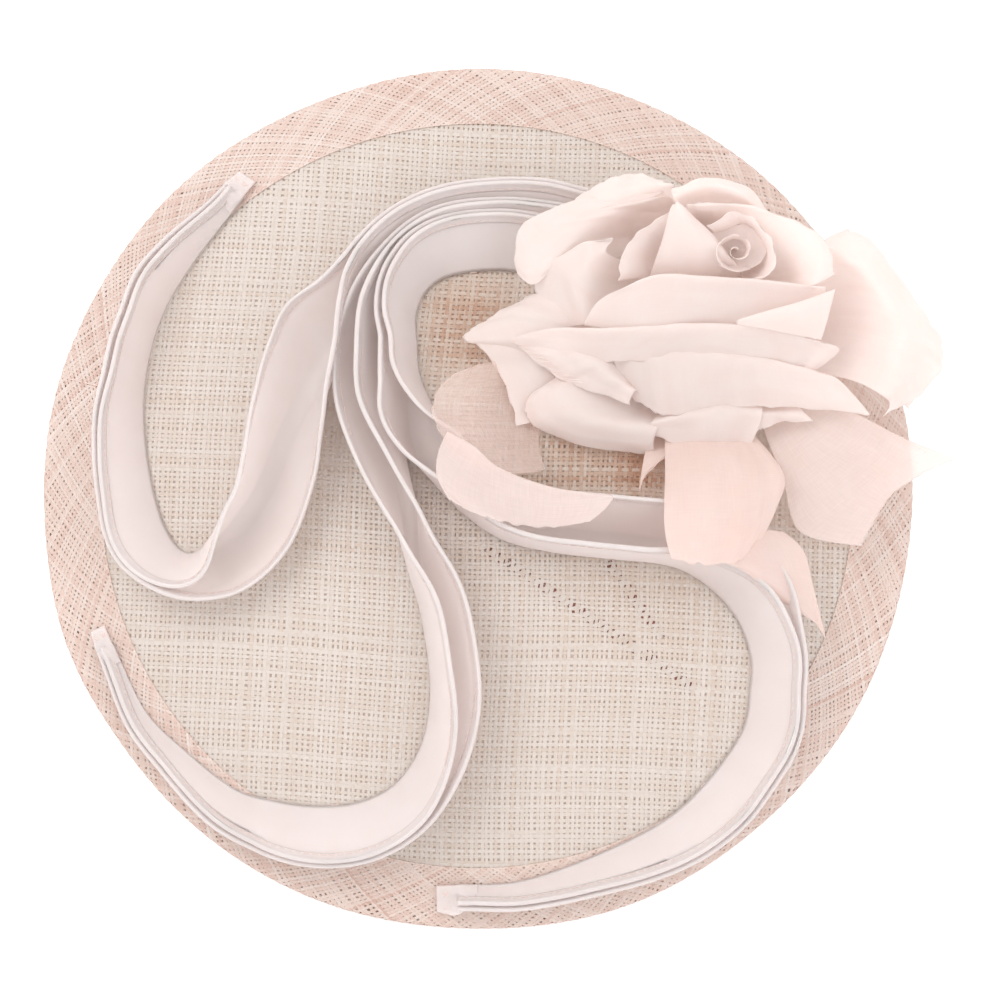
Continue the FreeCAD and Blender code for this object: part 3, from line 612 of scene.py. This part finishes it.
# Where the flaps start to narrow, as a share of the way, and their width at the rim's end.
BAND_ENDS = {"left": (0.84, 8), "lower": (0.72, 6), "right": (0.74, 10)}
FLAP, HEM, ROLL = 22.0, 3.6, 0.72   # widths of a flap and its hem, and radius of the hem's roll


def band_frames(name):
    """A band's fold: its rows, places, directions, lengths so far and flap widths."""
    stations = np.array(BAND_STATIONS[name], float)
    rows = spline(stations, 10 * (len(stations) - 1) + 1)
    xy = rows[:, :2]
    ahead = unit(np.gradient(xy, axis=0))
    left = np.stack([-ahead[:, 1], ahead[:, 0]], -1)
    run = run_length(xy)
    start, end_width = BAND_ENDS[name]
    share = ease(np.clip((run / run[-1] - start) / (1 - start), 0, 1))
    width = FLAP + (end_width - FLAP) * share
    return rows, xy, left, ahead, run, width


def band_place(rows, xy, left, width, side, reach, off):
    """Points of a flap, reach from the fold and off its face (+ to the left), along the band."""
    lean = np.radians(rows[:, 3] if side < 0 else rows[:, 4])
    half = rows[:, 2] * np.clip(rows[:, 2] / 2, 0.45, 1) * side
    opened = np.clip((rows[:, 4] - rows[:, 3]) / 34, 0, 1)
    bow = (0.4 + 2.6 * opened) * np.sin(np.pi * np.clip(reach / width, 0, 1)) ** 0.8 * side
    sideways = half + reach * np.sin(lean) + (off + bow) * np.cos(lean)
    up = reach * np.cos(lean) - (off + bow) * np.sin(lean)
    x, y = xy[:, 0] + left[:, 0] * sideways, xy[:, 1] + left[:, 1] * sideways
    z = dome(xy[:, 0], xy[:, 1], 0.55) + up
    far = np.hypot(x, y)
    inner = np.minimum(1, (RIM - 0.5) / np.maximum(far, 1))
    floor = dome(x * inner, y * inner, 1.5) + 0.25 * (off - np.minimum(off, 0))
    above = z - floor - 0.35 * reach / FLAP
    resting = z - above + 0.35 * np.logaddexp(0, above / 0.35)
    z = z + (resting - z) * np.clip((far - RIM + 30) / 8, 0, 1)
    return np.stack([x, y, z], -1)


def band(name, seed):
    """The band's one strip of satin: hem, flap, fold, flap and hem, with its stitches."""
    rows, xy, left, ahead, run, width = band_frames(name)
    # half the profile: whether the next number is a share of the flap's width or a distance from
    # its edge, that number, and how far off the flap's face the point lies
    half = [(True, share, 0) for share in (0.03, 0.09, 0.17, 0.27, 0.38, 0.49, 0.6, 0.71, 0.8)]
    half += [(False, -inward, 0) for inward in (HEM + 0.5, HEM, 2.2, 1.2)]
    for turn in (math.pi * number / 6 for number in range(7)):
        half.append((False, -ROLL + ROLL * math.sin(turn), ROLL * (1 - math.cos(turn))))
    half += [(False, -1.3, 1.0), (False, -2.2, 0.62), (False, -HEM + 0.3, 0.36),
             (False, -HEM - 0.1, 0.32)]
    line = [(-1, *spot) for spot in reversed(half)] + [(1, *spot) for spot in half]
    columns = []
    ripple = 0.35 * waves(run, run * 0, seed, 26, 5)
    for side, by_share, reach, off in line:
        distance = np.maximum(width * reach if by_share else width + reach, 0.3)
        pucker = ripple * np.clip(distance / FLAP, 0, 1)
        # the hem is turned to the outside of each flap
        aside = off * side + pucker
        columns.append(band_place(rows, xy, left, width, side, distance, aside))
    grid = np.stack(columns, 1)
    steps = np.linalg.norm(np.diff(grid, axis=1), axis=2).mean(0)
    across = np.concatenate([[0], np.cumsum(steps)])
    uv = grid_uv(across[None, :], run[:, None])
    cloth = make("band_%s_satin" % name, grid.reshape(-1, 3),
                 grid_quads(len(run), len(line)), SATIN, ["band_%s_cover" % name], uv)
    solidify(cloth, 0.26)
    for side, wire_name in ((-1, "near"), (1, "far")):
        middle = band_place(rows, xy, left, width, side, width - ROLL, ROLL * side)
        p, q = tube(middle[1:-1], 0.42, 8)
        make("band_%s_%s_hem_wire" % (name, wire_name), p, q, WIRE,
             ["band_%s_%s_wire" % (name, wire_name)])
    sewing = []
    for side in (-1, 1):
        for face in (-0.25, 0.62):
            path = band_place(rows, xy, left, width, side, width - HEM + 0.6, face * side)
            length = run_length(path)
            for at in np.arange(2, length[-1] - 1.5, 2.9):
                spot = [np.interp(at, length, path[:, k]) for k in range(3)]
                on = [np.interp(at + 0.5, length, path[:, k]) for k in range(3)]
                sewing.append(stitch(spot, np.subtract(on, spot), 2.1, 0.2))
    sew("band_%s_hem_stitches" % name, sewing)
    end_tab(name, rows[-1], xy[-1], left[-1], ahead[-1], width[-1])


def end_tab(name, row, spot, left, ahead, width):
    """The band's end pressed flat on the binding, with its raw edge folded in and tacked."""
    lean = math.radians((row[3] + row[4]) / 2)
    loops, around = [], 22
    turn = np.linspace(0, 2 * math.pi, around, endpoint=False)
    # along the band, share still standing, half thickness, share of the width
    for along, stand, thick, share in ((-7.0, 1.0, 0.5, 0.7), (-4.0, 0.9, 1.1, 0.92),
                                       (-1.5, 0.65, 1.4, 1.05), (0.5, 0.35, 1.2, 1.05),
                                       (2.4, 0.15, 0.9, 1.0), (4.2, 0.08, 0.75, 0.94),
                                       (5.9, 0.05, 0.65, 0.9), (6.6, 0.03, 0.55, 0.87),
                                       (6.9, 0.03, 0.25, 0.82)):
        tilt = math.pi / 2 - (math.pi / 2 - lean) * stand
        half = width * share / 2
        c, d = np.cos(turn), np.sin(turn)
        reach = half + half * np.sign(c) * np.abs(c) ** 0.75
        off = thick * np.sign(d) * np.abs(d) ** 0.75 * (1 + 0.14 * np.sin(3 * turn + along))
        sideways = reach * math.sin(tilt) - off * math.cos(tilt)
        up = reach * math.cos(tilt) + off * math.sin(tilt) + thick + 0.2
        at = spot + ahead * along
        x, y = at[0] + left[0] * sideways, at[1] + left[1] * sideways
        inner = np.minimum(1, (RIM - 0.6) / np.maximum(np.hypot(x, y), 1))
        x, y = x * inner, y * inner
        loops.append(np.stack([x, y, dome(x, y, 1.35) + np.maximum(up, 0)], -1))
    loops.append(np.repeat(loops[-1].mean(0, keepdims=True), around, 0))
    grid = spline(np.stack(loops), 36)
    across = np.cumsum(np.linalg.norm(np.diff(grid[8], axis=0, prepend=grid[8][-1:]), axis=1))
    uv = grid_uv(across[None, :], run_length(grid.mean(1))[:, None])
    make("band_%s_end_tab" % name, grid.reshape(-1, 3), grid_quads(len(grid), around, False, True),
         SATIN, uv=uv)
    crossed = []
    for along, aside in ((3.6, 0.28), (3.6, 0.72)):
        for lean_way in (1, -1):
            at = spot + ahead * along + left * width * aside
            inner = min(1, (RIM - 1.5) / math.hypot(*at))
            at = at * inner
            height = float(dome(at[0], at[1], 1.35)) + 1.75
            way = ahead + left * lean_way
            crossed.append(stitch((at[0], at[1], height), (way[0], way[1], 0), 2.4, 0.3))
    sew("band_%s_end_stitches" % name, crossed)


for band_number, band_name in enumerate(("left", "lower", "right")):
    band(band_name, 20 + band_number)


# ---- petals and leaves
def seen(point):
    """A point of a petal: x, how high it stands in the camera's view, and its own height z."""
    x, view, z = point
    return (x, (view - (z - RIM_PLANE) * math.cos(EYE_UP)) / math.sin(EYE_UP), z)


def bud_spiral():
    """Rows of a petal rolled up on itself, from its foot to its rim."""
    rows = []
    for z, flare, climb in ((30, 0.5, 0.0), (38, 0.78, 0.1), (42.5, 0.94, 0.3), (45.3, 1.04, 0.6)):
        row = []
        for step in range(25):
            turn = step * 1.75 * 2 * math.pi / 24
            size = (0.35 + 4.4 * turn / (2 * math.pi)) * flare
            row.append((87.6 + size * math.cos(turn + 0.6), 83 + 0.92 * size * math.sin(turn + 0.6),
                        z + climb * (2.4 - turn / 4)))
        rows.append(row)
    return rows


# Each petal or leaf: the nodes it stands for, rows of points from its foot to its free edge, and
# how strongly it is creased.
PETALS = {
    "back_left": (["rose_left_inner_petal"], [
        [(60, 84, 10), (62, 88, 10), (66, 92, 10), (72, 94, 10)],
        [(30, 78, 27), (38, 88, 30), (50, 97, 32), (66, 101, 30)],
        [(19, 72, 28), (22, 86, 31), (33, 95, 32.5), (60, 101.5, 33.5)],
        [(13.8, 76, 25), (14.5, 91, 27), (30, 99.5, 29.5), (64, 104.5, 33)]], 1.3),
    "back_top": (["rose_back_petal"], [
        [(62, 86, 12), (68, 90, 12), (74, 92, 12), (80, 94, 12)],
        [(36, 92, 29), (44, 97, 32), (56, 103, 33), (68, 104, 33)],
        [(31, 98, 27), (42, 107, 29), (54, 110, 31), (67, 105, 35)]], 1.4),
    "back_rolled": (["rose_back_rolled_petal"], [
        [(70, 88, 14), (78, 91, 14), (88, 92, 14), (94, 90, 14)],
        [(67, 99, 38), (77, 103, 42), (88, 101, 42), (98, 93, 38)],
        [(66, 103, 39), (77, 107.5, 41), (92, 103.5, 41), (99, 94, 38)],
        [(67, 104, 34), (78, 108, 34), (93, 104.5, 34), (101, 94, 33)]], 0.8),
    "right_middle": (["rose_right_inner_petal"], [
        [(74, 90, 14), (88, 88, 14), (96, 80, 14), (96, 72, 14)],
        [(71, 96, 38), (90, 92, 37), (104, 82, 34), (106, 70, 32)],
        [(71, 98, 44), (92, 97, 45), (113, 86, 44), (113, 71, 42)],
        [(71, 98.5, 45), (92, 98.5, 45), (116, 88, 44), (121, 75, 41)]], 1.0),
    "bud_left": (["rose_bud_outer_petal"], [
        [(84, 92, 14), (72, 90, 14), (68, 82, 14), (70, 74, 14)],
        [(80, 97, 40), (66, 92, 36), (58, 84, 34), (56, 74, 32)],
        [(78, 99.5, 44), (64, 95.5, 42), (51, 85, 40), (48, 73, 37)]], 1.2),
    "bud_swirl": (["rose_bud_inner_petal"], [
        [(84, 84, 18), (92, 87, 18), (95, 82, 18), (90, 77, 18), (84, 77, 18)],
        [(80, 89, 40), (91, 92, 40), (98, 84, 40), (96, 75, 40), (88, 73, 38)],
        [(77.6, 91, 45), (88, 95.5, 47), (98.5, 88, 47), (100, 76, 46), (91, 72.5, 43)]], 0.8),
    "bud_heart": (["rose_core"], bud_spiral(), 0.25),
    "bud_fill": ([], [
        [(80, 79, 40), (85, 76.5, 40.5), (91, 76.5, 40.5), (96, 79, 40)],
        [(78, 84, 39.5), (84, 83.5, 38.5), (91, 83.5, 38.5), (98, 84, 39.5)],
        [(80, 90, 40), (85, 92, 40.5), (91, 92, 40.5), (95, 89, 40)]], 0.3),
    "bud_point": (["rose_bud_point_petal"], [
        [(58, 73, 30), (68, 72, 34), (78, 72, 34), (90, 73, 32)],
        [(61, 82, 40), (67, 84, 45), (78, 84, 45), (88, 78, 40)],
        [(66, 97, 44), (67, 99.4, 48), (71, 97, 47), (84, 83, 42)]], 1.0),
    "left_middle": (["rose_left_middle_petal"], [
        [(66, 76, 12), (64, 72, 12), (62, 66, 12), (64, 60, 12)],
        [(45, 82, 33), (40, 76, 33), (38, 68, 31), (42, 59, 28)],
        [(46, 87, 36), (37, 85, 34), (28, 77, 31), (33, 58, 25)],
        [(45, 87.5, 36), (33, 84, 32), (20, 74.5, 25), (24, 58, 19)]], 1.2),
    "front_curled": (["rose_front_curled_petal"], [
        [(56, 66, 14), (66, 62, 14), (76, 61, 14), (90, 62, 14), (102, 68, 14)],
        [(50, 70, 38), (62, 74.5, 43), (77, 74, 44), (96, 73, 43), (114, 70, 41)],
        [(41, 66, 36), (58, 69, 41), (77, 68, 42), (98, 67, 40), (118, 69, 40)],
        [(36, 58.5, 30), (56, 53, 34), (76, 57, 35), (96, 56, 34), (115, 52.5, 30)]], 0.8),
    "left_tip": (["rose_left_tip_petal"], [
        [(66, 62, 11), (60, 56, 11), (60, 50, 11), (62, 44, 11)],
        [(36, 64, 25), (32, 57, 25), (30, 52, 24), (34, 44, 22)],
        [(22, 69, 23), (14, 62, 24), (12, 55, 24), (22, 46, 21)],
        [(20, 68.5, 21), (3, 60, 20), (-4.5, 53.6, 19), (12, 50, 19)]], 1.0),
    "left_shade": ([], [
        [(62, 56, 10), (58, 50, 10), (58, 42, 10), (60, 34, 10)],
        [(30, 56, 21), (26, 48, 21), (26, 40, 20), (30, 32, 19)],
        [(12, 54, 21), (14, 46, 20.5), (17, 36, 20), (24, 27, 18.5)],
        [(-1, 53, 20), (5.5, 45.5, 20), (10.5, 36, 19.5), (13.5, 24, 18.5)]], 0.8),
    "right_large": (["rose_right_large_petal"], [
        [(96, 76, 10), (102, 70, 10), (106, 62, 10), (106, 52, 10), (102, 44, 10)],
        [(112, 82, 26), (122, 76, 25), (128, 64, 23), (130, 50, 21), (126, 40, 19)],
        [(119, 84, 33), (131, 76, 33), (141, 61, 31), (142, 46, 28), (138, 34, 24)],
        [(118, 87, 33), (134, 82, 31), (149, 61, 28), (151, 45, 25), (140, 31, 21)],
        [(126, 91.2, 28), (138, 83, 26), (156, 55, 21), (156, 40, 18), (138, 28, 17)]], 1.4),
    "right_outer": (["rose_right_outer_petal"], [
        [(100, 62, 9), (106, 60, 9), (108, 54, 9), (108, 46, 9)],
        [(124, 76, 18), (134, 68, 18), (138, 54, 17), (134, 42, 16)],
        [(127, 88, 22), (146, 68, 20), (158.5, 49, 16), (147, 30, 14)]], 1.2),
    "front_second": (["rose_front_second_petal"], [
        [(46, 50, 13), (58, 48, 13), (76, 48, 13), (94, 48, 13), (108, 52, 13)],
        [(30, 57, 30), (48, 57, 34.5), (76, 58.5, 37.5), (100, 57, 35.5), (116, 52, 31)],
        [(15, 55, 25), (42, 52, 32), (72, 52, 35.5), (100, 50, 32.5), (123, 49.5, 28.5)],
        [(9.5, 53, 22), (36, 46, 27), (66, 46, 30), (98, 43, 27), (114, 42, 26)]], 0.8),
    "front_lit": (["rose_front_lit_petal"], [
        [(56, 42, 12), (66, 38, 12), (78, 37, 12), (94, 38, 12), (106, 42, 12)],
        [(46, 50, 28), (60, 50.5, 31), (78, 49.5, 32), (100, 46.5, 30), (120, 41, 27)],
        [(47, 44, 25), (61, 40, 28), (78, 40, 29), (101, 37, 26), (128, 34.5, 23)],
        [(51, 35, 19), (63, 28, 21), (79, 29.5, 22), (103, 31, 20), (134, 27.5, 18)]], 1.3),
    "front_frayed": ([], [
        [(62, 50, 12), (60, 46, 12), (58, 42, 12), (57, 38, 12), (57, 34, 12)],
        [(36, 55, 24), (39, 50, 27), (43, 45.5, 28), (47, 41, 27), (54, 36, 24)],
        [(16, 55.5, 23), (26, 49, 26), (33, 43, 27), (41, 38, 26), (52, 33, 23)],
        [(9.7, 54.2, 22), (19.3, 46.6, 24), (28, 40.2, 25), (38, 36, 24), (52, 31.5, 22)]], 1.0),
    "lower_left": (["rose_left_lower_petal"], [
        [(58, 42, 10), (58, 38, 10), (60, 33, 10), (62, 30, 10), (68, 28, 10)],
        [(38, 43, 23), (33, 37, 24.5), (36, 30, 24.5), (45, 26, 23), (62, 24, 19)],
        [(30, 42, 23), (22.5, 35.5, 23.5), (24, 27, 23), (37, 21, 21), (60, 18, 17)],
        [(28, 41, 20.5), (17.4, 33, 20.5), (19.2, 24.3, 19.5), (36, 17.4, 16.5), (61, 14.2, 12)]], 0.8),
    "lower_front": (["rose_front_lower_petal"], [
        [(66, 32, 9), (76, 33, 9), (86, 33, 9), (96, 34, 9)],
        [(60, 26, 20), (72, 29, 22), (84, 31, 22), (97, 30, 19)],
        [(58, 23.5, 19), (70, 23, 20), (82, 22.5, 20), (96, 24, 17)],
        [(60.5, 21.6, 17), (69, 17.5, 16), (79, 11.7, 13), (91, 12.4, 12)]], 1.0),
    "curled_corner": ([], [
        [(121, 70, 42.2), (119.5, 64, 40), (118, 58, 37), (116.5, 53, 33)],
        [(110, 66, 44), (108.5, 62.5, 43), (107, 59, 41), (106, 55, 37)],
        [(98, 62.5, 44.5), (97, 60.5, 43.5), (96.5, 58.8, 42), (96, 57, 40)],
        [(88, 59.6, 42.8), (87.6, 59.2, 42), (87.8, 58.8, 41), (88.5, 58.3, 40)]], 0.5),
    "small_fold": ([], [
        [(88, 32, 9), (96, 32, 9), (106, 34, 9)],
        [(88, 29, 17), (98, 29, 18), (110, 30, 17)],
        [(92, 20, 14), (102.4, 25, 16), (114.5, 25.5, 15)]], 0.8),
    "leaf_under_left": (["leaf_left"], [
        [(32, 44, 12), (28, 36, 12), (24, 28, 13), (21, 19, 15), (23, 9, 22)],
        [(14, 45.5, 15), (10, 37, 16), (10, 28, 18), (13, 18, 22), (18, 8, 29)],
        [(3, 45.5, 22), (-1, 36, 28), (-2, 28, 31), (2, 18, 33), (9, 8, 35)],
        [(-8, 41.5, 36), (-13, 36, 37), (-15, 28, 38), (-11, 19, 38), (-3, 11, 37)]], 0.6),
    "leaf_lower_lobe": (["leaf_lower_left"], [
        [(-10, 22, 38), (-1, 17, 38), (8, 9.5, 37.5), (26, 3, 36), (45, 0.5, 34)],
        [(-13, 15, 38.5), (-5, 9, 38.5), (8, 3, 38.5), (26, -1.5, 37.5), (46, -0.5, 35.5)],
        [(-13.5, 7, 38.5), (-7, 1, 38.5), (8, -3, 38.5), (26, -6, 37.5), (43, -4.5, 36)],
        [(-9.5, -1, 38), (-1, -5.5, 38), (10, -8.8, 38), (24, -10.4, 37), (38, -8.5, 36)]], 0.7),
    "leaf_point": ([], [
        [(60, 22, 9), (66, 20, 9), (72, 20, 9)],
        [(57, 14, 15), (62, 14, 16), (68, 15, 16)],
        [(55, 2, 17), (57, 7, 17), (64, 14, 17)]], 0.6),
    "leaf_drape": (["leaf_lower_right"], [
        [(64, 26, 9), (74, 26, 9), (84, 25, 9), (92, 24, 9)],
        [(63.8, 9.5, 23), (76, 11, 25), (92, 9, 25), (104, 8, 20)],
        [(63.2, -10, 33), (76, -10, 34), (92, -9, 30), (102, -3.5, 21)],
        [(65.4, -21, 33.5), (76, -23, 32), (88, -22, 27.5), (96, -17, 20)]], 1.4),
    "leaf_drape_tip": ([], [
        [(80, -10, 31), (88, -11, 28), (96, -11, 22), (104, -12, 15)],
        [(82, -21, 30), (91, -19.5, 25.5), (100, -17, 19), (111, -18.4, 13)],
        [(90, -25, 25), (98, -27, 20), (106, -28, 14), (114.5, -30, 9)],
        [(101, -34, 15), (108, -38, 10), (115, -43, 6), (119, -48.5, 3)]], 1.1),
    "leaf_sheer_right": (["leaf_right"], [
        [(96, 28, 7), (104, 32, 7), (112, 36, 7)],
        [(104, 6, 12), (118, 18, 12), (130, 28, 12)],
        [(110, -12, 10), (136, 8, 7), (146, 20, 6)],
        [(131, -17, 4), (143, 2, 3), (164, 13, 2)]], 1.2),
}
LEAF_CLOTHS = {"leaf_under_left": VEIL, "leaf_lower_lobe": MIST, "leaf_sheer_right": MIST}
PETAL_ROWS, PETAL_COLUMNS = 34, 58


def petal(name, spec, seed):
    """One petal or leaf: its rows joined smoothly, creased from its foot and frayed at its edge."""
    stands_for, rows, crease = spec
    rng = np.random.default_rng(seed)
    control = np.array([[seen(point) for point in row] for row in rows], float)
    grid = spline(control, PETAL_ROWS)
    grid = spline(grid.transpose(1, 0, 2), PETAL_COLUMNS).transpose(1, 0, 2)
    t = np.linspace(0, 1, PETAL_ROWS)[:, None]
    s = np.linspace(0, 1, PETAL_COLUMNS)[None, :]
    normal = unit(np.cross(np.gradient(grid, axis=0), np.gradient(grid, axis=1)))
    width = float(np.linalg.norm(np.diff(control, axis=1), axis=2).sum(1).max())
    # creases that run from the foot, and soft waves that grow towards the free edge
    folds = waves(s * width, t * 6, seed, 9, 5) * 0.32 * t ** 0.7
    soft = waves(s * width, t * 30, seed + 1, 24, 4) * 0.55 * t ** 2
    grid = grid + normal * ((folds + soft) * crease)[..., None]
    # the raw edge wanders and frays a little
    fray = waves(s[0] * width, s[0] * 0, seed + 2, 5, 4) * 0.35 + rng.normal(0, 0.08, PETAL_COLUMNS)
    reach = unit(grid[-1] - grid[-3])
    grid[-1] = grid[-1] + reach * fray[:, None]
    length = np.linalg.norm(np.diff(grid, axis=0), axis=2).mean(1).sum()
    uv = grid_uv(s * width, t * length)
    slot, material = "petal_organza", ORGANZA
    if name.startswith("leaf"):
        slot, material = "leaf_organza", LEAF_CLOTHS.get(name, SHEER)
    piece = make(name if name.startswith("leaf") else "petal_" + name, grid.reshape(-1, 3),
                 grid_quads(PETAL_ROWS, PETAL_COLUMNS), material, stands_for, uv)
    solidify(piece, 0.22)


for petal_number, (petal_name, petal_spec) in enumerate(PETALS.items()):
    petal(petal_name, petal_spec, 100 + 7 * petal_number)


def frayed_threads():
    """Loose threads along the lower-left petal's raw edge."""
    rng = np.random.default_rng(8)
    parts = []
    for share in np.linspace(0, 1, 16):
        x, view, z = 15 + 15.5 * share, 50.3 - 11.5 * share, 24.5 + 1.5 * share
        long, rise = rng.uniform(3.0, 5.5), rng.uniform(-0.9, -0.1)
        start, end = seen((x - 0.8, view + 0.5, z)), seen((x + long, view + 0.5 + rise, z + 2.2))
        bend = 0.25 * rng.normal(0, 1, 3)
        t = np.linspace(0, 1, 7)[:, None]
        path = np.add(start, t * np.subtract(end, start)) + bend * np.sin(math.pi * t)
        parts.append(tube(path, rng.uniform(0.11, 0.17), 6))
    p, q = join(parts)
    make("petal_frayed_threads", p, q, ORGANZA, uv=p[:, :2])


frayed_threads()


# ---- head pad
def head_pad():
    """A crowned oval pad: flat in the middle of its face, rounded at its edge."""
    half_long, half_wide, around = 46.0, 35.0, 120
    angle = np.linspace(0, 2 * math.pi, around, endpoint=False)
    rows = []
    for share, z in ((0.0005, 0.25), (0.3, 0.2), (0.55, 0.15), (0.75, 0.1), (0.88, 0.3), (0.95, 1.0),
                     (0.985, 2.2), (0.995, 3.6), (0.998, 5.2), (0.99, 6.6), (0.975, 7.6)):
        pucker = 1 + 0.004 * np.sin(24 * angle) * (share > 0.8)
        x, y = half_long * share * pucker * np.cos(angle), half_wide * share * pucker * np.sin(angle)
        rows.append(np.stack([x, y, np.full(around, z)], -1))
    for share in (0.97, 0.6, 0.0005):
        x, y = half_long * share * np.cos(angle), half_wide * share * np.sin(angle)
        z = DOME_C + np.sqrt((DOME_R - 0.4) ** 2 - x * x - y * y)
        rows.append(np.stack([x, y, z], -1))
    fine = spline(np.stack(rows), 44)
    uv = grid_uv(angle[None, :] * 40, run_length(fine[:, 0])[:, None])
    fine = fine + 0.12 * waves(fine[..., 0:1], fine[..., 1:2], 9, 14)
    pad = make("head_pad", fine.reshape(-1, 3), grid_quads(len(fine), around, False, True),
               PAD_CLOTH, ["head_pad_cover"], uv)
    edge = np.stack([half_long * 0.99 * np.cos(angle), half_wide * 0.99 * np.sin(angle),
                     np.full(around, 2.6)], -1)
    p, q = tube(edge, 0.7, 8, True)
    make("head_pad_piping", p, q, PAD_CLOTH, uv=p[:, :2])


head_pad()

# The CAD pieces that show as they are get a finish of their own; the rest of them are thread.
CARRIED = {"brim_wire": WIRE, "wire_ferrule": WIRE, "slide_comb": COMB, "head_pad_core": FOAM,
           "rose_backing": BUCKRAM}
for node_name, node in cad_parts.items():
    if not node.hide_render:
        for material_slot in node.material_slots:
            material_slot.material = CARRIED.get(node_name, THREAD)

# ---- floor, light and camera
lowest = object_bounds()[0].z
floor_mesh = bpy.data.meshes.new("floor")
floor_mesh.from_pydata([(-4, -4, lowest), (4, -4, lowest), (4, 4, lowest), (-4, 4, lowest)], [],
                       [(0, 1, 2, 3)])
floor = place_object("floor", floor_mesh)
floor_material, floor_nodes, floor_links, floor_out = new_material("paper_floor")
paper = fill(floor_nodes.new("ShaderNodeBsdfDiffuse"), {"Color": (0.97, 0.97, 0.97, 1)})
glow = fill(floor_nodes.new("ShaderNodeEmission"), {"Strength": 0.22})
both = floor_nodes.new("ShaderNodeAddShader")
floor_links.new(paper.outputs[0], both.inputs[0])
floor_links.new(glow.outputs[0], both.inputs[1])
floor_links.new(both.outputs[0], floor_out.inputs["Surface"])
floor_mesh.materials.append(floor_material)

world = bpy.data.worlds.new("studio")
world.use_nodes = True
fill(world.node_tree.nodes["Background"], {"Color": (1.0, 0.995, 0.99, 1), "Strength": 1.04})
bpy.context.scene.world = world


def softbox(name, place, size, power, colour):
    """A round area light that faces the middle of the hat."""
    light = bpy.data.lights.new(name, "AREA")
    light.shape = "DISK"
    light.size, light.energy, light.color = size, power, colour
    lamp = place_object(name, light)
    lamp.location = place
    lamp.rotation_euler = (-Vector(place)).to_track_quat("-Z", "Y").to_euler()


softbox("key", (-0.75, 0.55, 1.15), 0.9, 6.5, (1.0, 0.985, 0.965))
softbox("fill", (0.9, -0.5, 0.9), 1.0, 3.0, (0.97, 0.98, 1.0))

camera_data = bpy.data.cameras.new("camera")
camera_data.sensor_width = 36
camera = place_object("camera", camera_data)
distance, view_width = 2.2, 0.345
camera_data.lens = camera_data.sensor_width * distance / view_width
target = Vector((0.0078, -0.0012, RIM_PLANE * MM))
back = Vector((0, -math.cos(EYE_UP), math.sin(EYE_UP)))
camera.location = target + back * distance
camera.rotation_euler = back.to_track_quat("Z", "Y").to_euler()
bpy.context.scene.camera = camera
bpy.context.scene.view_settings.view_transform = "Standard"
